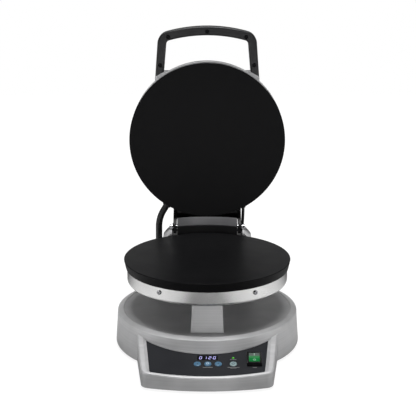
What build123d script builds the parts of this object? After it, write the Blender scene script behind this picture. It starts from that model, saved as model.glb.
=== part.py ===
"""Crepe maker: a round base with a control box, and two heated heads joined by a rear hinge.

Lengths are in millimetres. The model is drawn about the lower plate's axis, X to the right,
Y to the back and Z up from the underside of the base. The lid's pieces are drawn closed, in a
frame of their own with its origin at the centre of the upper plate's cooking face, and then
swung open. At the end everything is moved so that the origin is on the bench, midway between
front and back.
"""
import os
from math import atan2, cos, degrees, hypot, pi, radians, sin, sqrt, tan

from build123d import *

# Driving sizes
PLATE_DIA = 305.0
PLATE_THICK = 17.0
COOK_HEIGHT = 157.0
CREPE_GAP = 2.0
HEAD_DEPTH = 44.0
DRUM_FOOT_DIA = 339.0
DECK_HEIGHT = 61.3
BOX_REACH = 67.8
SHELF_REACH = 16.0
OPEN_ANGLE = 90.0
FOOT_LIFT = 4.0

# Clearances, shared by every seat and hole
OVERRUN = 2.0
SLIP = 0.1
REST_GAP = 0.3
SCREW_CLEARANCE = 0.25
RUNNING_CLEARANCE = 0.05
KEY_CLEARANCE = 0.15
JOINED = 0.001

# Cooking plates
PLATE_WEB = 9.0
PLATE_RIM_WIDTH = 11.0
PLATE_DRAW = 3.8
PLATE_EDGE_RADIUS = 1.0
PLATE_SEAM_RADIUS = 1.5
SIDE_LUG_ANGLE = 34.4
SIDE_LUG_WIDTH = 16.0
SIDE_LUG_DEPTH = 9.0
SIDE_LUG_DROP = 16.0
AXIAL_LUG_RADIUS = 6.5
AXIAL_LUG_INSET = 9.7
AXIAL_LUG_ANGLE = 45.0

# Heating elements, insulation, probes and cut-outs
ELEMENT_DIA = 7.0
ELEMENT_OUTER_RADIUS = 108.0
ELEMENT_INNER_RADIUS = 72.0
ELEMENT_END_ANGLE = 98.0
ELEMENT_TURN_ANGLE = 76.0
TERMINAL_DIA = 4.0
TERMINAL_LENGTH = 16.0
TERMINAL_HOLE_DIA = 9.0
INSULATION_GAP = 3.7
INSULATION_BORE_RADIUS = 52.0
INSULATION_BOSS_GAP = 1.5
PROBE_DIA = 5.0
PROBE_LENGTH = 34.0
PROBE_PLACE = 26.0
PROBE_CLIP = 9.0
CUTOUT_DIA = 17.0
CUTOUT_HEIGHT = 5.0
CUTOUT_FLANGE_DIA = 24.0
CUTOUT_FLANGE_THICK = 1.0
CUTOUT_PLACE = -26.0
TAB_WIDTH = 6.3
TAB_THICK = 0.8
TAB_LENGTH = 9.0
TAB_SPACING = 9.0

# Lower housing, a deep-drawn stainless dish
HOUSING_INSET = 1.9
HOUSING_WALL = 1.2
HOUSING_CORNER = 7.0
WIRE_HOLE_DIA = 34.0
HOUSING_SCREW_DROP = 9.0

# Screws: shank, head diameter and head height
M3 = (3.0, 5.6, 2.0)
M4 = (4.0, 8.0, 2.6)
M5 = (5.0, 9.0, 3.4)
HEAD_CHAMFER = 0.8
HOUSING_SCREW_LENGTH = 9.0
SADDLE_SCREW_GRIP = 6.0
BASE_SCREW_LENGTH = 12.0
BOARD_SCREW_LENGTH = 6.0

# Base casting
CAST_WALL = 4.0
DRUM_SHOULDER_DRAW = 4.2
DRUM_SHOULDER_HEIGHT = 59.5
RIM_DRAW = 14.5
RIM_HEIGHT = 62.8
RIM_LIP = 2.0
RIM_ROUNDING = 2.2
DRUM_FOOT_ROUNDING = 3.0
BOX_FRONT_WIDTH = 215.0
BOX_SPLAY_ANGLE = 7.4
BOX_ROOT = 80.0
BOX_ARC_RADIUS = 388.0
BOX_CORNER_RADIUS = 16.0
BOX_EDGE_ROUNDING = 3.0
REAR_WIDTH = 224.0
REAR_ROOT = 90.0
REAR_CORNER_RADIUS = 24.0
REAR_EDGE_ROUNDING = 3.0

# Control panel, measured in the plane of its face
PANEL_ANGLE = 12.3
PANEL_SETBACK = 8.4
PANEL_FRONT_HEIGHT = 22.9
FRAME_LIP = 2.5
FRAME_SIDE_BEVEL = 5.5
FRAME_FRONT_BEVEL = 2.8
FRAME_BACK_LEDGE = 0.6
FASCIA_WIDTH = 189.2
FASCIA_SPLAY_ANGLE = 6.5
FASCIA_CORNER_RADIUS = 6.0
FASCIA_THICK = 2.0
FASCIA_GAP = 0.2
FASCIA_SEAT_WIDTH = 4.0
FASCIA_SEAT_THICK = 3.0
DISPLAY_ACROSS = 0.5
DISPLAY_FROM_DRUM = 12.8
DISPLAY_SIZE = (35.0, 13.2)
DISPLAY_THICK = 1.4
DISPLAY_SEAT = 1.2
DISPLAY_CORNER = 1.0
MODULE_SIZE = (30.4, 10.4)
MODULE_RELIEF = 0.8
KEYS_FROM_DRUM = 31.0
KEY_MIDDLE = 1.0
KEY_PITCH = 17.6
START_KEY_PLACE = 43.9
KEY_DIA = 12.0
KEY_PROUD = 1.6
KEY_FLANGE = 1.3
KEY_FLANGE_THICK = 1.0
KEY_STEM_DIA = 5.0
KEY_STEM_LENGTH = 0.4
KEY_TRAVEL = 0.6
KEY_ROUNDING = 1.0
LAMP_ACROSS = 44.0
LAMP_FROM_DRUM = 13.4
LAMP_DIA = 4.0
LAMP_PROUD = 1.0
LAMP_FLANGE = 0.6
BOARD_SIZE = (100.0, 34.0)
BOARD_ACROSS = 11.0
BOARD_FROM_DRUM = 23.0
BOARD_THICK = 1.6
BOARD_DROP = 7.0
BOARD_HOLE_INSET = 4.0
PILLAR_DIA = 6.0
SWITCH_SIZE = 6.0
SWITCH_HEIGHT = 2.2
SWITCH_PLUNGER_DIA = 3.5

# Mains rocker
ROCKER_ACROSS = 79.4
ROCKER_FROM_DRUM = 20.4
BEZEL_SIZE = (25.4, 32.6)
BEZEL_HEIGHT = 7.0
BEZEL_ROUNDING = 1.0
ROCKER_BODY_SIZE = (21.8, 27.8)
ROCKER_BODY_DEPTH = 17.0
ROCKER_WALL = 1.5
ROCKER_GAP = 0.35
ROCKER_PIVOT_HEIGHT = 2.0
ROCKER_PIN_DIA = 2.4
ROCKER_PIN_LENGTH = 1.0
ROCKER_PIN_CLEARANCE = 0.05
ROCKER_TILT = 12.0
ROCKER_FACE_HEIGHT = 7.6
ROCKER_WEDGE_DROP = 3.2
ROCKER_LENGTH = 21.5
ROCKER_FLOOR = 6.0
BLADE_SIZE = (6.3, 0.8, 7.0)
BLADE_PITCH = (11.0, 13.0)

# Pedestal
PEDESTAL_FOOT_WIDTH = 57.5
PEDESTAL_TOP_WIDTH = 52.0
PEDESTAL_FRONT = 134.0
PEDESTAL_REAR = 118.0
PEDESTAL_CORNER = 3.0
PEDESTAL_WALL = 5.0
PEDESTAL_TOP_THICK = 6.0
PEDESTAL_BOSS_PLACES = (-100.0, 88.0)
PEDESTAL_BOSS_SPREAD = 13.0
PEDESTAL_BOSS_DIA = 13.0

# Rear tower
TOWER_WIDTH = 176.0
TOWER_FRONT_GAP = 7.5
TOWER_BEHIND = 30.9
TOWER_DROP = 17.3
TOWER_WALL = 5.0
TOWER_TOP_THICK = 9.0
TOWER_CORNER = 10.0
SHOULDER_DROP = 4.3
SHOULDER_CREST = 146.0
SHOULDER_SLOT = 140.0
SHOULDER_SLOPE = 45.0
TOWER_BOSS_OFFSETS = ((-66.0, 28.0), (66.0, 28.0), (-30.0, 10.0), (30.0, 10.0))
TOWER_BOSS_DIA = 14.0

# Hinge: its axis stands behind the plates' edge, just above the lower plate
HINGE_RISE = 6.3
HINGE_WALL = 2.6
PIN_DIA = 11.0
PIN_LENGTH = 151.0
PIN_CHAMFER = 0.8
PIN_CRADLE = 0.4
CLIP_THICK = 1.0
CLIP_DIA = 16.0
CLIP_GROOVE = 0.9
CLIP_MOUTH = 6.0
HINGE_BLOCK_WIDTH = 118.0
HINGE_BLOCK_RISE = 17.0
HINGE_BLOCK_CREST = 7.0
HINGE_BLOCK_WAIST = (19.0, 5.0)
HINGE_BLOCK_HEEL = 1.0
HINGE_BLOCK_ROUNDING = 4.0
BLOCK_SCREW_ROW = (-46.0, -16.0, 16.0, 46.0)
BLOCK_SCREW_INSET = 24.0
BLOCK_SCREW_GRIP = 9.0
BLOCK_FRONT_GAP = 14.5
GUARD_SETBACK = 4.0
GUARD_THICK = 1.5
GUARD_WIDTH = 119.0
GUARD_TOP = 21.8
GUARD_HEIGHT = 16.6

# Hinge arms and saddle, on the lid
ARM_THICK = 6.0
ARM_BOSS_RADIUS = 13.0
ARM_ROUNDING = 6.0
ARM_POINTS = ((40.0, 16.0), (40.0, 28.0), (22.0, 28.5))
ARM_SCREW_POINTS = ((24.5, 26.0), (36.0, 22.0))
ARM_SCREW_LENGTH = 16.0
SADDLE_WIDTH = 123.2
SADDLE_FRONT = 17.0
SADDLE_DEPTH = 25.0
SADDLE_DROP = 8.0
SADDLE_RELIEF = 29.0
SADDLE_ROUNDING = 3.0
SADDLE_SCREW_PLACES = (-42.0, -18.0, 18.0, 42.0)
SADDLE_SCREW_SETBACK = 34.5
SADDLE_PAD = 12.0
STOP_ROD_DIA = 7.0
STOP_ROD_LENGTH = 149.0
STOP_REACH = 8.5

# Lid cover
COVER_WALL = 3.5
COVER_RISE = 51.0
COVER_DOME = 6.0
COVER_SHOULDER = 12.0
COVER_GROOVE_PLACE = 12.0
COVER_GROOVE_WIDTH = 1.4
COVER_GROOVE_DEPTH = 1.0
COVER_RIB_RADIUS = 100.0
COVER_RIB_WIDTH = 4.0
COVER_BOSS_RADIUS = 6.5
COVER_SCREW_GRIP = 6.0
COVER_SCREW_LENGTH = 13.0
EAR_HALF_WIDTH = 101.4
EAR_SEAT_REACH = 122.9
EAR_SEAT_ANGLE = 30.0
EAR_SEAT_WIDTH = 20.0
EAR_FLAT_WIDTH = 9.0
EAR_ROOT_WIDTH = 32.0
EAR_ROOT_REACH = 98.0
TONGUE_WIDTH = 8.0
TONGUE_THICK = 8.0
TONGUE_LENGTH = 33.0

# Handle, in two halves
HANDLE_REACH = 219.9
HANDLE_CROWN_RADIUS = 300.0
HANDLE_BAR = 17.5
HANDLE_TOP_WIDTH = 190.5
HANDLE_FOOT_WIDTH = 201.4
HANDLE_TOP_PLACE = 197.0
HANDLE_FOOT_PLACE = 127.0
HANDLE_INNER_TOP_WIDTH = 156.0
HANDLE_INNER_FOOT_WIDTH = 169.0
HANDLE_CORNER_RADIUS = 24.0
HANDLE_INNER_RADIUS = 8.0
HANDLE_BEVEL = 3.6
HANDLE_FRONT_FACE = 20.0
HANDLE_THICK = 24.0
HANDLE_SCREW_POINTS = ((-91.0, 145.3), (-75.0, 199.5), (0.0, 209.8), (75.0, 199.5), (91.0, 145.3))
HANDLE_SCREW_RECESS = 3.0
HANDLE_SCREW_END = 4.0

# Conduit at the left and lead at the right
CONDUIT_DIA = 13.0
CONDUIT_SIDE_GAP = 3.0
CONDUIT_INSET = 22.0
CONDUIT_RIM_PLACE = 78.0
CONDUIT_SETBACK = 31.0
CONDUIT_RISE = 34.0
CONDUIT_BEND_RADII = (150.0, 58.0)
CONDUIT_GLAND_DIA = 20.0
CONDUIT_GLAND_LENGTH = 14.0
CONDUIT_RIM_GLAND_LENGTH = 8.0
CONDUIT_GLAND_NUT = 6.0
LEAD_DIA = 6.0
LEAD_ACROSS = 71.2
LEAD_BEHIND = 6.0
LEAD_RIM_PLACE = 72.6
LEAD_SETBACK = 33.0
LEAD_BEND_DROP = 13.3
LEAD_DROP = 20.0
LEAD_BEND_RADIUS = 100.0
LEAD_GLAND_DIA = 10.0
LEAD_GLAND_LENGTH = 8.0
LEAD_CLIP_DROP = 28.0
LEAD_CLIP_WIDTH = 10.0
LEAD_CLIP_WALL = 1.2
GLAND_INSET = 2.0

# Underside
BOTTOM_PLATE_THICK = 1.5
BOTTOM_PLATE_GAP = 0.6
BOTTOM_PLATE_INSET = 1.5
BASE_BOSS_DIA = 11.0
BASE_BOSS_INSET = 24.0
BASE_BOSS_TURNS = (-90.0, -164.0, -16.0, 158.6, 21.4)
BASE_BOSS_REAR = 17.0
FOOT_DIA = 30.0
FOOT_DRAW = 2.0
FOOT_SPREAD = (82.0, 86.0)
FOOT_INSET = (41.3, 36.0)
FOOT_RECESS_DIA = 14.0
FOOT_RECESS_DEPTH = 3.4
FOOT_SCREW_LENGTH = 6.0
VENT_SIZE = (3.0, 26.0)
VENT_PITCH = 9.0
VENT_COUNT = 9
VENT_PLACE = 70.0

# Mains inlet and power electronics
CORD_GLAND_HEIGHT = 28.0
CORD_GLAND_PLACE = -40.0
CORD_GLAND_DIA = 19.0
CORD_GLAND_BORE = 9.2
CORD_GLAND_COLLAR = 25.0
CORD_GLAND_COLLAR_THICK = 4.0
CORD_GLAND_LENGTH = 12.0
POWER_BOARD_SIZE = (150.0, 100.0)
POWER_BOARD_PLACE = (0.0, -20.0)
SPACER_HEIGHT = 8.0
SPACER_DIA = 7.0
POWER_HOLE_INSET = 6.0
RELAY_SIZE = (32.0, 27.0, 24.0)
RELAY_PLACES = ((-48.0, 4.0), (-48.0, -44.0))
TRANSFORMER_SIZE = (44.0, 37.0, 30.0)
TRANSFORMER_PLACE = (38.0, -36.0)
TRANSFORMER_COIL = (30.0, 25.0, 34.0)
BUZZER_DIA = 14.0
BUZZER_HEIGHT = 9.0
BUZZER_PLACE = (20.0, 12.0)
TERMINAL_BLOCK_SIZE = (46.0, 22.0, 20.0)
TERMINAL_BLOCK_PLACE = (-40.0, 150.0)
TERMINAL_WELL_DIA = 8.0
TERMINAL_WELL_DEPTH = 9.0
TERMINAL_WELL_PITCH = 14.0
EDGE_SOFTENING = 1.0

# Worked out from the sizes above
PLATE_RADIUS = PLATE_DIA / 2
PLATE_BACK_RADIUS = PLATE_RADIUS - PLATE_DRAW
RIM_INNER_RADIUS = PLATE_BACK_RADIUS - PLATE_RIM_WIDTH
AXIAL_LUG_CIRCLE = RIM_INNER_RADIUS - AXIAL_LUG_INSET
INSULATION_RADIUS = RIM_INNER_RADIUS - INSULATION_GAP
HOUSING_RADIUS = PLATE_BACK_RADIUS - HOUSING_INSET
COVER_RADIUS = PLATE_RADIUS
HOUSING_FLOOR = COOK_HEIGHT - HEAD_DEPTH
BLOCK_FRONT_RADIUS = PLATE_RADIUS + BLOCK_FRONT_GAP
GUARD_RADIUS = BLOCK_FRONT_RADIUS + GUARD_SETBACK
HINGE_BACK = BLOCK_FRONT_RADIUS + HINGE_WALL + PIN_DIA / 2
HINGE_HEIGHT = COOK_HEIGHT + HINGE_RISE
LID_HINGE_HEIGHT = HINGE_RISE - CREPE_GAP
TOWER_FRONT_RADIUS = PLATE_RADIUS + TOWER_FRONT_GAP
TOWER_REAR = HINGE_BACK + TOWER_BEHIND
TOWER_HEIGHT = HINGE_HEIGHT - TOWER_DROP
SHOULDER_HEIGHT = HINGE_HEIGHT - SHOULDER_DROP
REAR_REACH = TOWER_REAR + SHELF_REACH
DRUM_RADIUS = DRUM_FOOT_DIA / 2
SHOULDER_RADIUS = DRUM_RADIUS - DRUM_SHOULDER_DRAW
RIM_RADIUS = DRUM_RADIUS - RIM_DRAW
FRONT_REACH = DRUM_RADIUS + BOX_REACH
PANEL_FRONT = FRONT_REACH - PANEL_SETBACK
FASCIA_ARC_RADIUS = BOX_ARC_RADIUS - PANEL_SETBACK
FASCIA_DEPTH = (PANEL_FRONT - SHOULDER_RADIUS) / cos(radians(PANEL_ANGLE))
DISPLAY_PLACE = (DISPLAY_ACROSS, FASCIA_DEPTH - DISPLAY_FROM_DRUM)
KEY_ROW = FASCIA_DEPTH - KEYS_FROM_DRUM
LAMP_PLACE = (LAMP_ACROSS, FASCIA_DEPTH - LAMP_FROM_DRUM)
BOARD_PLACE = (BOARD_ACROSS, FASCIA_DEPTH - BOARD_FROM_DRUM)
ROCKER_PLACE = (ROCKER_ACROSS, FASCIA_DEPTH - ROCKER_FROM_DRUM)
TOWER_BOSS_PLACES = tuple((x, TOWER_REAR - inset) for x, inset in TOWER_BOSS_OFFSETS)
BLOCK_SCREW_PLACES = tuple((x, TOWER_REAR - BLOCK_SCREW_INSET) for x in BLOCK_SCREW_ROW)
CONDUIT_PLACE = (-(TOWER_WIDTH + CONDUIT_DIA) / 2 - CONDUIT_SIDE_GAP, TOWER_REAR - CONDUIT_INSET)
LEAD_PLACE = (LEAD_ACROSS, TOWER_REAR + LEAD_BEHIND)
CAVITY_TOP = DECK_HEIGHT - CAST_WALL
ELEMENT_DEPTH = PLATE_WEB + ELEMENT_DIA / 2 + SLIP
INSULATION_FACE = ELEMENT_DEPTH + ELEMENT_DIA / 2 + SLIP
INSULATION_THICK = HEAD_DEPTH - HOUSING_WALL - INSULATION_FACE
COVER_CENTRE_DEPTH = COVER_RISE + COVER_DOME
COVER_SPHERE = (COVER_RADIUS ** 2 + COVER_DOME ** 2) / (2 * COVER_DOME)
LID_BACK = HINGE_BACK + COVER_CENTRE_DEPTH - LID_HINGE_HEIGHT
BOTTOM_PLATE_TOP = BOTTOM_PLATE_INSET + BOTTOM_PLATE_THICK
POWER_BOARD_BASE = BOTTOM_PLATE_TOP + SPACER_HEIGHT
POWER_BOARD_TOP = POWER_BOARD_BASE + BOARD_THICK
GLAND_BACK = REAR_REACH + CORD_GLAND_COLLAR_THICK + CORD_GLAND_LENGTH
ORIGIN_BACK = (max(LID_BACK, GLAND_BACK) - FRONT_REACH) / 2

PANEL = Plane(
    origin=(0, -PANEL_FRONT, PANEL_FRONT_HEIGHT),
    x_dir=(1, 0, 0),
    z_dir=(0, -sin(radians(PANEL_ANGLE)), cos(radians(PANEL_ANGLE))),
)
OPENED = (
    Pos(0, HINGE_BACK, HINGE_HEIGHT)
    * Rot(-OPEN_ANGLE, 0, 0)
    * Pos(0, -HINGE_BACK, -LID_HINGE_HEIGHT)
)
SEATED = Pos(0, -ORIGIN_BACK, FOOT_LIFT)


# Drawing helpers
def rounded_face(corners):
    """Closed face from (x, y, corner radius) points, its round corners as tangent arcs."""
    points = [Vector(x, y) for x, y, _ in corners]
    edges, starts, ends = [], [], []
    for i, (here, (_, _, radius)) in enumerate(zip(points, corners)):
        back = (points[i - 1] - here).normalized()
        ahead = (points[(i + 1) % len(points)] - here).normalized()
        half = radians(back.get_angle(ahead)) / 2
        reach = radius / tan(half)
        starts.append(here + back * reach)
        ends.append(here + ahead * reach)
        if radius > 0:
            inward = (back + ahead).normalized()
            middle = here + inward * (radius / sin(half) - radius)
            edges.append(ThreePointArc(starts[-1], middle, ends[-1]))
    for i, end in enumerate(ends):
        start = starts[(i + 1) % len(starts)]
        if (start - end).length > JOINED:
            edges.append(Line(end, start))
    return make_face(edges)


def turned(corners):
    """Solid of revolution about Z from (radius, height, corner radius) points."""
    return revolve(Plane.XZ * rounded_face(corners), Axis.Z)


def disc(radius, low, high, x=0.0, y=0.0):
    """Upright cylinder between two heights."""
    return Pos(x, y, low) * extrude(Circle(radius), high - low)


def block(x_range, y_range, z_range, edge=0.0):
    """Box between ranges, its upright edges rounded."""
    width, depth = x_range[1] - x_range[0], y_range[1] - y_range[0]
    outline = RectangleRounded(width, depth, edge) if edge else Rectangle(width, depth)
    middle = Pos((x_range[0] + x_range[1]) / 2, (y_range[0] + y_range[1]) / 2, z_range[0])
    return middle * extrude(outline, z_range[1] - z_range[0])


def bar(radius, x_range, y, z):
    """Cylinder along X."""
    return Plane.YZ.offset(x_range[0]) * Pos(y, z) * extrude(Circle(radius), x_range[1] - x_range[0])


def side_plate(outline, x_range):
    """Profile drawn in (y, z), carried along X."""
    return Plane.YZ.offset(x_range[0]) * extrude(outline, x_range[1] - x_range[0])


def screw(size, length):
    """Pan-head screw, its seat at zero, its head up and its shank down."""
    shank, head_dia, head_height = size
    head = extrude(Circle(head_dia / 2), head_height)
    head = chamfer(head.edges().group_by(Axis.Z)[-1], HEAD_CHAMFER)
    return head + disc(shank / 2, -length, 0)


def countersunk(size, length):
    """Countersunk screw, its flat head's top at zero and its shank down."""
    shank, head_dia, _ = size
    sink = (head_dia - shank) / 2
    cone = turned(((0, 0, 0), (head_dia / 2, 0, 0), (shank / 2, -sink, 0), (0, -sink, 0)))
    return cone + disc(shank / 2, -length, -sink)


def clearance_hole(size, low, high, x=0.0, y=0.0):
    return disc(size[0] / 2 + SCREW_CLEARANCE, low, high, x, y)


def tapped_hole(size, low, high, x=0.0, y=0.0):
    return disc(size[0] / 2 + RUNNING_CLEARANCE, low, high, x, y)


def both_sides(shape):
    """The shape and its mirror image across the middle of the machine."""
    return [shape, mirror(shape, Plane.YZ)]


def in_panel(shape, place=(0.0, 0.0)):
    """Put a shape drawn flat on the face of the control panel."""
    return PANEL * Pos(place[0], place[1]) * shape


def below(shape, plane):
    return split(shape, plane, keep=Keep.BOTTOM)


# Heads: drawn with the cooking face at zero and the inside above it
def cooking_plate():
    """Cast plate: flat web, rim with a drawn-in edge."""
    return turned((
        (0, 0, 0),
        (PLATE_RADIUS, 0, PLATE_EDGE_RADIUS),
        (PLATE_BACK_RADIUS, PLATE_THICK, PLATE_SEAM_RADIUS),
        (RIM_INNER_RADIUS, PLATE_THICK, PLATE_SEAM_RADIUS),
        (RIM_INNER_RADIUS, PLATE_WEB, PLATE_SEAM_RADIUS),
        (0, PLATE_WEB, 0),
    ))


def side_turns():
    """Turns about Z that carry a piece from the front to each side screw."""
    return [Rot(0, 0, turn) for turn in (
        -SIDE_LUG_ANGLE, SIDE_LUG_ANGLE, 180 - SIDE_LUG_ANGLE, 180 + SIDE_LUG_ANGLE)]


def side_lug():
    """Lug on the lower plate's back, at the front, that takes a housing screw."""
    outer = HOUSING_RADIUS - HOUSING_WALL - REST_GAP
    lug = block(
        (-SIDE_LUG_WIDTH / 2, SIDE_LUG_WIDTH / 2),
        (-outer, -outer + SIDE_LUG_DEPTH),
        (PLATE_WEB, PLATE_THICK + SIDE_LUG_DROP),
        EDGE_SOFTENING,
    )
    lug &= disc(outer, 0, HEAD_DEPTH)
    hole = Pos(0, -outer, PLATE_THICK + HOUSING_SCREW_DROP) * Rot(90, 0, 0)
    return lug - hole * tapped_hole(M4, -SIDE_LUG_DEPTH, OVERRUN)


def lower_plate():
    plate = cooking_plate()
    for turn in side_turns():
        plate += turn * side_lug()
    return plate


def axial_places():
    turns = [AXIAL_LUG_ANGLE + 90 * i for i in range(4)]
    return [(AXIAL_LUG_CIRCLE * cos(radians(t)), AXIAL_LUG_CIRCLE * sin(radians(t))) for t in turns]


def upper_plate():
    plate = cooking_plate()
    for x, y in axial_places():
        plate += disc(AXIAL_LUG_RADIUS, PLATE_WEB, PLATE_THICK, x, y)
        plate -= tapped_hole(M5, PLATE_WEB, PLATE_THICK + OVERRUN, x, y)
    return plate


def element_path():
    """Out round the large circle, back round the small one, joined by a half turn."""
    sweep_angle = 360 + ELEMENT_TURN_ANGLE - ELEMENT_END_ANGLE
    outer = CenterArc((0, 0), ELEMENT_OUTER_RADIUS, ELEMENT_END_ANGLE, sweep_angle)
    inner = CenterArc((0, 0), ELEMENT_INNER_RADIUS, ELEMENT_TURN_ANGLE, -sweep_angle)
    middle_radius = (ELEMENT_OUTER_RADIUS + ELEMENT_INNER_RADIUS) / 2
    turn_radius = (ELEMENT_OUTER_RADIUS - ELEMENT_INNER_RADIUS) / 2
    angle = radians(ELEMENT_TURN_ANGLE)
    along = Vector(-sin(angle), cos(angle))
    centre = Vector(cos(angle), sin(angle)) * middle_radius
    return Wire([outer, ThreePointArc(outer @ 1, centre + along * turn_radius, inner @ 0), inner])


def element():
    path = Pos(0, 0, ELEMENT_DEPTH) * element_path()
    tube = sweep(Plane(path @ 0, z_dir=path % 0) * Circle(ELEMENT_DIA / 2), path)
    for end in (path @ 0, path @ 1):
        depth = ELEMENT_DEPTH + TERMINAL_LENGTH
        tube += disc(TERMINAL_DIA / 2, ELEMENT_DEPTH, depth, end.X, end.Y)
    return tube


def insulation(bosses):
    """Mineral-wool ring behind the element, holed for its terminals and the lid's bosses."""
    ring = disc(INSULATION_RADIUS, INSULATION_FACE, INSULATION_FACE + INSULATION_THICK)
    ring -= disc(INSULATION_BORE_RADIUS, 0, HEAD_DEPTH)
    path = element_path()
    for end in (path @ 0, path @ 1):
        ring -= disc(TERMINAL_HOLE_DIA / 2, 0, HEAD_DEPTH, end.X, end.Y)
    for x, y in bosses:
        ring -= disc(COVER_BOSS_RADIUS + INSULATION_BOSS_GAP, 0, HEAD_DEPTH, x, y)
    return ring


def probe():
    """Sheathed temperature probe in its clip, held against the plate's web."""
    depth = PLATE_WEB + PROBE_DIA / 2 + SLIP
    half = PROBE_CLIP / 2
    clip = block((-half, half), (PROBE_PLACE - half, PROBE_PLACE + half),
                 (PLATE_WEB, depth + PROBE_DIA / 2 + EDGE_SOFTENING), EDGE_SOFTENING)
    return clip + bar(PROBE_DIA / 2, (-PROBE_LENGTH / 2, PROBE_LENGTH / 2), PROBE_PLACE, depth)


def cutout():
    """Button thermostat that cuts the power if the plate overheats."""
    flange_top = PLATE_WEB + CUTOUT_FLANGE_THICK
    body = disc(CUTOUT_FLANGE_DIA / 2, PLATE_WEB, flange_top, 0, CUTOUT_PLACE)
    body += disc(CUTOUT_DIA / 2, flange_top, flange_top + CUTOUT_HEIGHT, 0, CUTOUT_PLACE)
    for side in (-1, 1):
        x = side * TAB_SPACING / 2
        body += block((x - TAB_THICK / 2, x + TAB_THICK / 2),
                      (CUTOUT_PLACE - TAB_WIDTH / 2, CUTOUT_PLACE + TAB_WIDTH / 2),
                      (flange_top, flange_top + CUTOUT_HEIGHT + TAB_LENGTH))
    return body


def lower_head(shape):
    """Turn a head piece over, so that its cooking face is up at the cooking height."""
    return Pos(0, 0, COOK_HEIGHT) * Rot(180, 0, 0) * shape


def lower_housing():
    """Drawn dish that closes the lower head, holed for its screws and wires."""
    top = COOK_HEIGHT - PLATE_THICK
    inner = HOUSING_RADIUS - HOUSING_WALL
    dish = turned((
        (0, HOUSING_FLOOR, 0),
        (HOUSING_RADIUS, HOUSING_FLOOR, HOUSING_CORNER),
        (HOUSING_RADIUS, top, 0),
        (inner, top, 0),
        (inner, HOUSING_FLOOR + HOUSING_WALL, HOUSING_CORNER - HOUSING_WALL),
        (0, HOUSING_FLOOR + HOUSING_WALL, 0),
    ))
    dish -= disc(WIRE_HOLE_DIA / 2, HOUSING_FLOOR - OVERRUN, HOUSING_FLOOR + HOUSING_WALL + OVERRUN)
    for turn in side_turns():
        seat = turn * Pos(0, -HOUSING_RADIUS, top - HOUSING_SCREW_DROP) * Rot(90, 0, 0)
        dish -= seat * clearance_hole(M4, -HOUSING_WALL - OVERRUN, OVERRUN)
    return dish - head_screw_holes()


def head_screw_holes():
    holes = [
        clearance_hole(M5, HOUSING_FLOOR - OVERRUN, HOUSING_FLOOR + HOUSING_WALL + OVERRUN, x, y)
        for x, y in pedestal_points()
    ]
    return Part() + holes


def housing_screws():
    height = COOK_HEIGHT - PLATE_THICK - HOUSING_SCREW_DROP
    seat = Pos(0, -HOUSING_RADIUS - RUNNING_CLEARANCE, height) * Rot(90, 0, 0)
    return [turn * seat * screw(M4, HOUSING_SCREW_LENGTH) for turn in side_turns()]


# Pedestal
def pedestal_points():
    return [(x, y) for y in PEDESTAL_BOSS_PLACES for x in (-PEDESTAL_BOSS_SPREAD, PEDESTAL_BOSS_SPREAD)]


def pedestal_section(width, height, wall):
    depth = PEDESTAL_FRONT + PEDESTAL_REAR - 2 * wall
    centre = (PEDESTAL_REAR - PEDESTAL_FRONT) / 2
    return Pos(0, centre, height) * RectangleRounded(width - 2 * wall, depth, PEDESTAL_CORNER)


def pedestal():
    """Tapered cast column under the lower head, hollow for the wires."""
    top_inside = HOUSING_FLOOR - PEDESTAL_TOP_THICK
    column = loft([
        pedestal_section(PEDESTAL_FOOT_WIDTH, DECK_HEIGHT, 0),
        pedestal_section(PEDESTAL_TOP_WIDTH, HOUSING_FLOOR, 0),
    ])
    column -= loft([
        pedestal_section(PEDESTAL_FOOT_WIDTH, DECK_HEIGHT - OVERRUN, PEDESTAL_WALL),
        pedestal_section(PEDESTAL_TOP_WIDTH, top_inside, PEDESTAL_WALL),
    ])
    for x, y in pedestal_points():
        column += disc(PEDESTAL_BOSS_DIA / 2, DECK_HEIGHT, top_inside, x, y)
        column -= tapped_hole(M5, DECK_HEIGHT - OVERRUN, HOUSING_FLOOR + OVERRUN, x, y)
    return column - disc(WIRE_HOLE_DIA / 2, top_inside - OVERRUN, HOUSING_FLOOR + OVERRUN)


# Base
def base_boss_points():
    """Places of the bottom plate's screws, round the drum and in the middle of the rear shelf."""
    circle = DRUM_RADIUS - BASE_BOSS_INSET
    points = [(circle * cos(radians(turn)), circle * sin(radians(turn))) for turn in BASE_BOSS_TURNS]
    return points + [(0, REAR_REACH - BASE_BOSS_REAR)]


def foot_points():
    """Places of the feet, under the control box and under the rear shelf."""
    (front_x, rear_x), (front_inset, rear_inset) = FOOT_SPREAD, FOOT_INSET
    front = [(x, front_inset - FRONT_REACH) for x in (-front_x, front_x)]
    return front + [(x, REAR_REACH - rear_inset) for x in (-rear_x, rear_x)]


def drum(wall=0.0):
    """Round base body, or with a wall the space inside it."""
    if wall:
        return turned((
            (0, -OVERRUN, 0),
            (DRUM_RADIUS - wall, -OVERRUN, 0),
            (SHOULDER_RADIUS - wall, CAVITY_TOP, RIM_ROUNDING),
            (0, CAVITY_TOP, 0),
        ))
    return turned((
        (0, 0, 0),
        (DRUM_RADIUS, 0, DRUM_FOOT_ROUNDING),
        (SHOULDER_RADIUS, DRUM_SHOULDER_HEIGHT, RIM_ROUNDING),
        (RIM_RADIUS, RIM_HEIGHT, RIM_ROUNDING / 2),
        (RIM_RADIUS - RIM_LIP, DECK_HEIGHT, RIM_ROUNDING / 2),
        (0, DECK_HEIGHT, 0),
    ))


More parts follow.
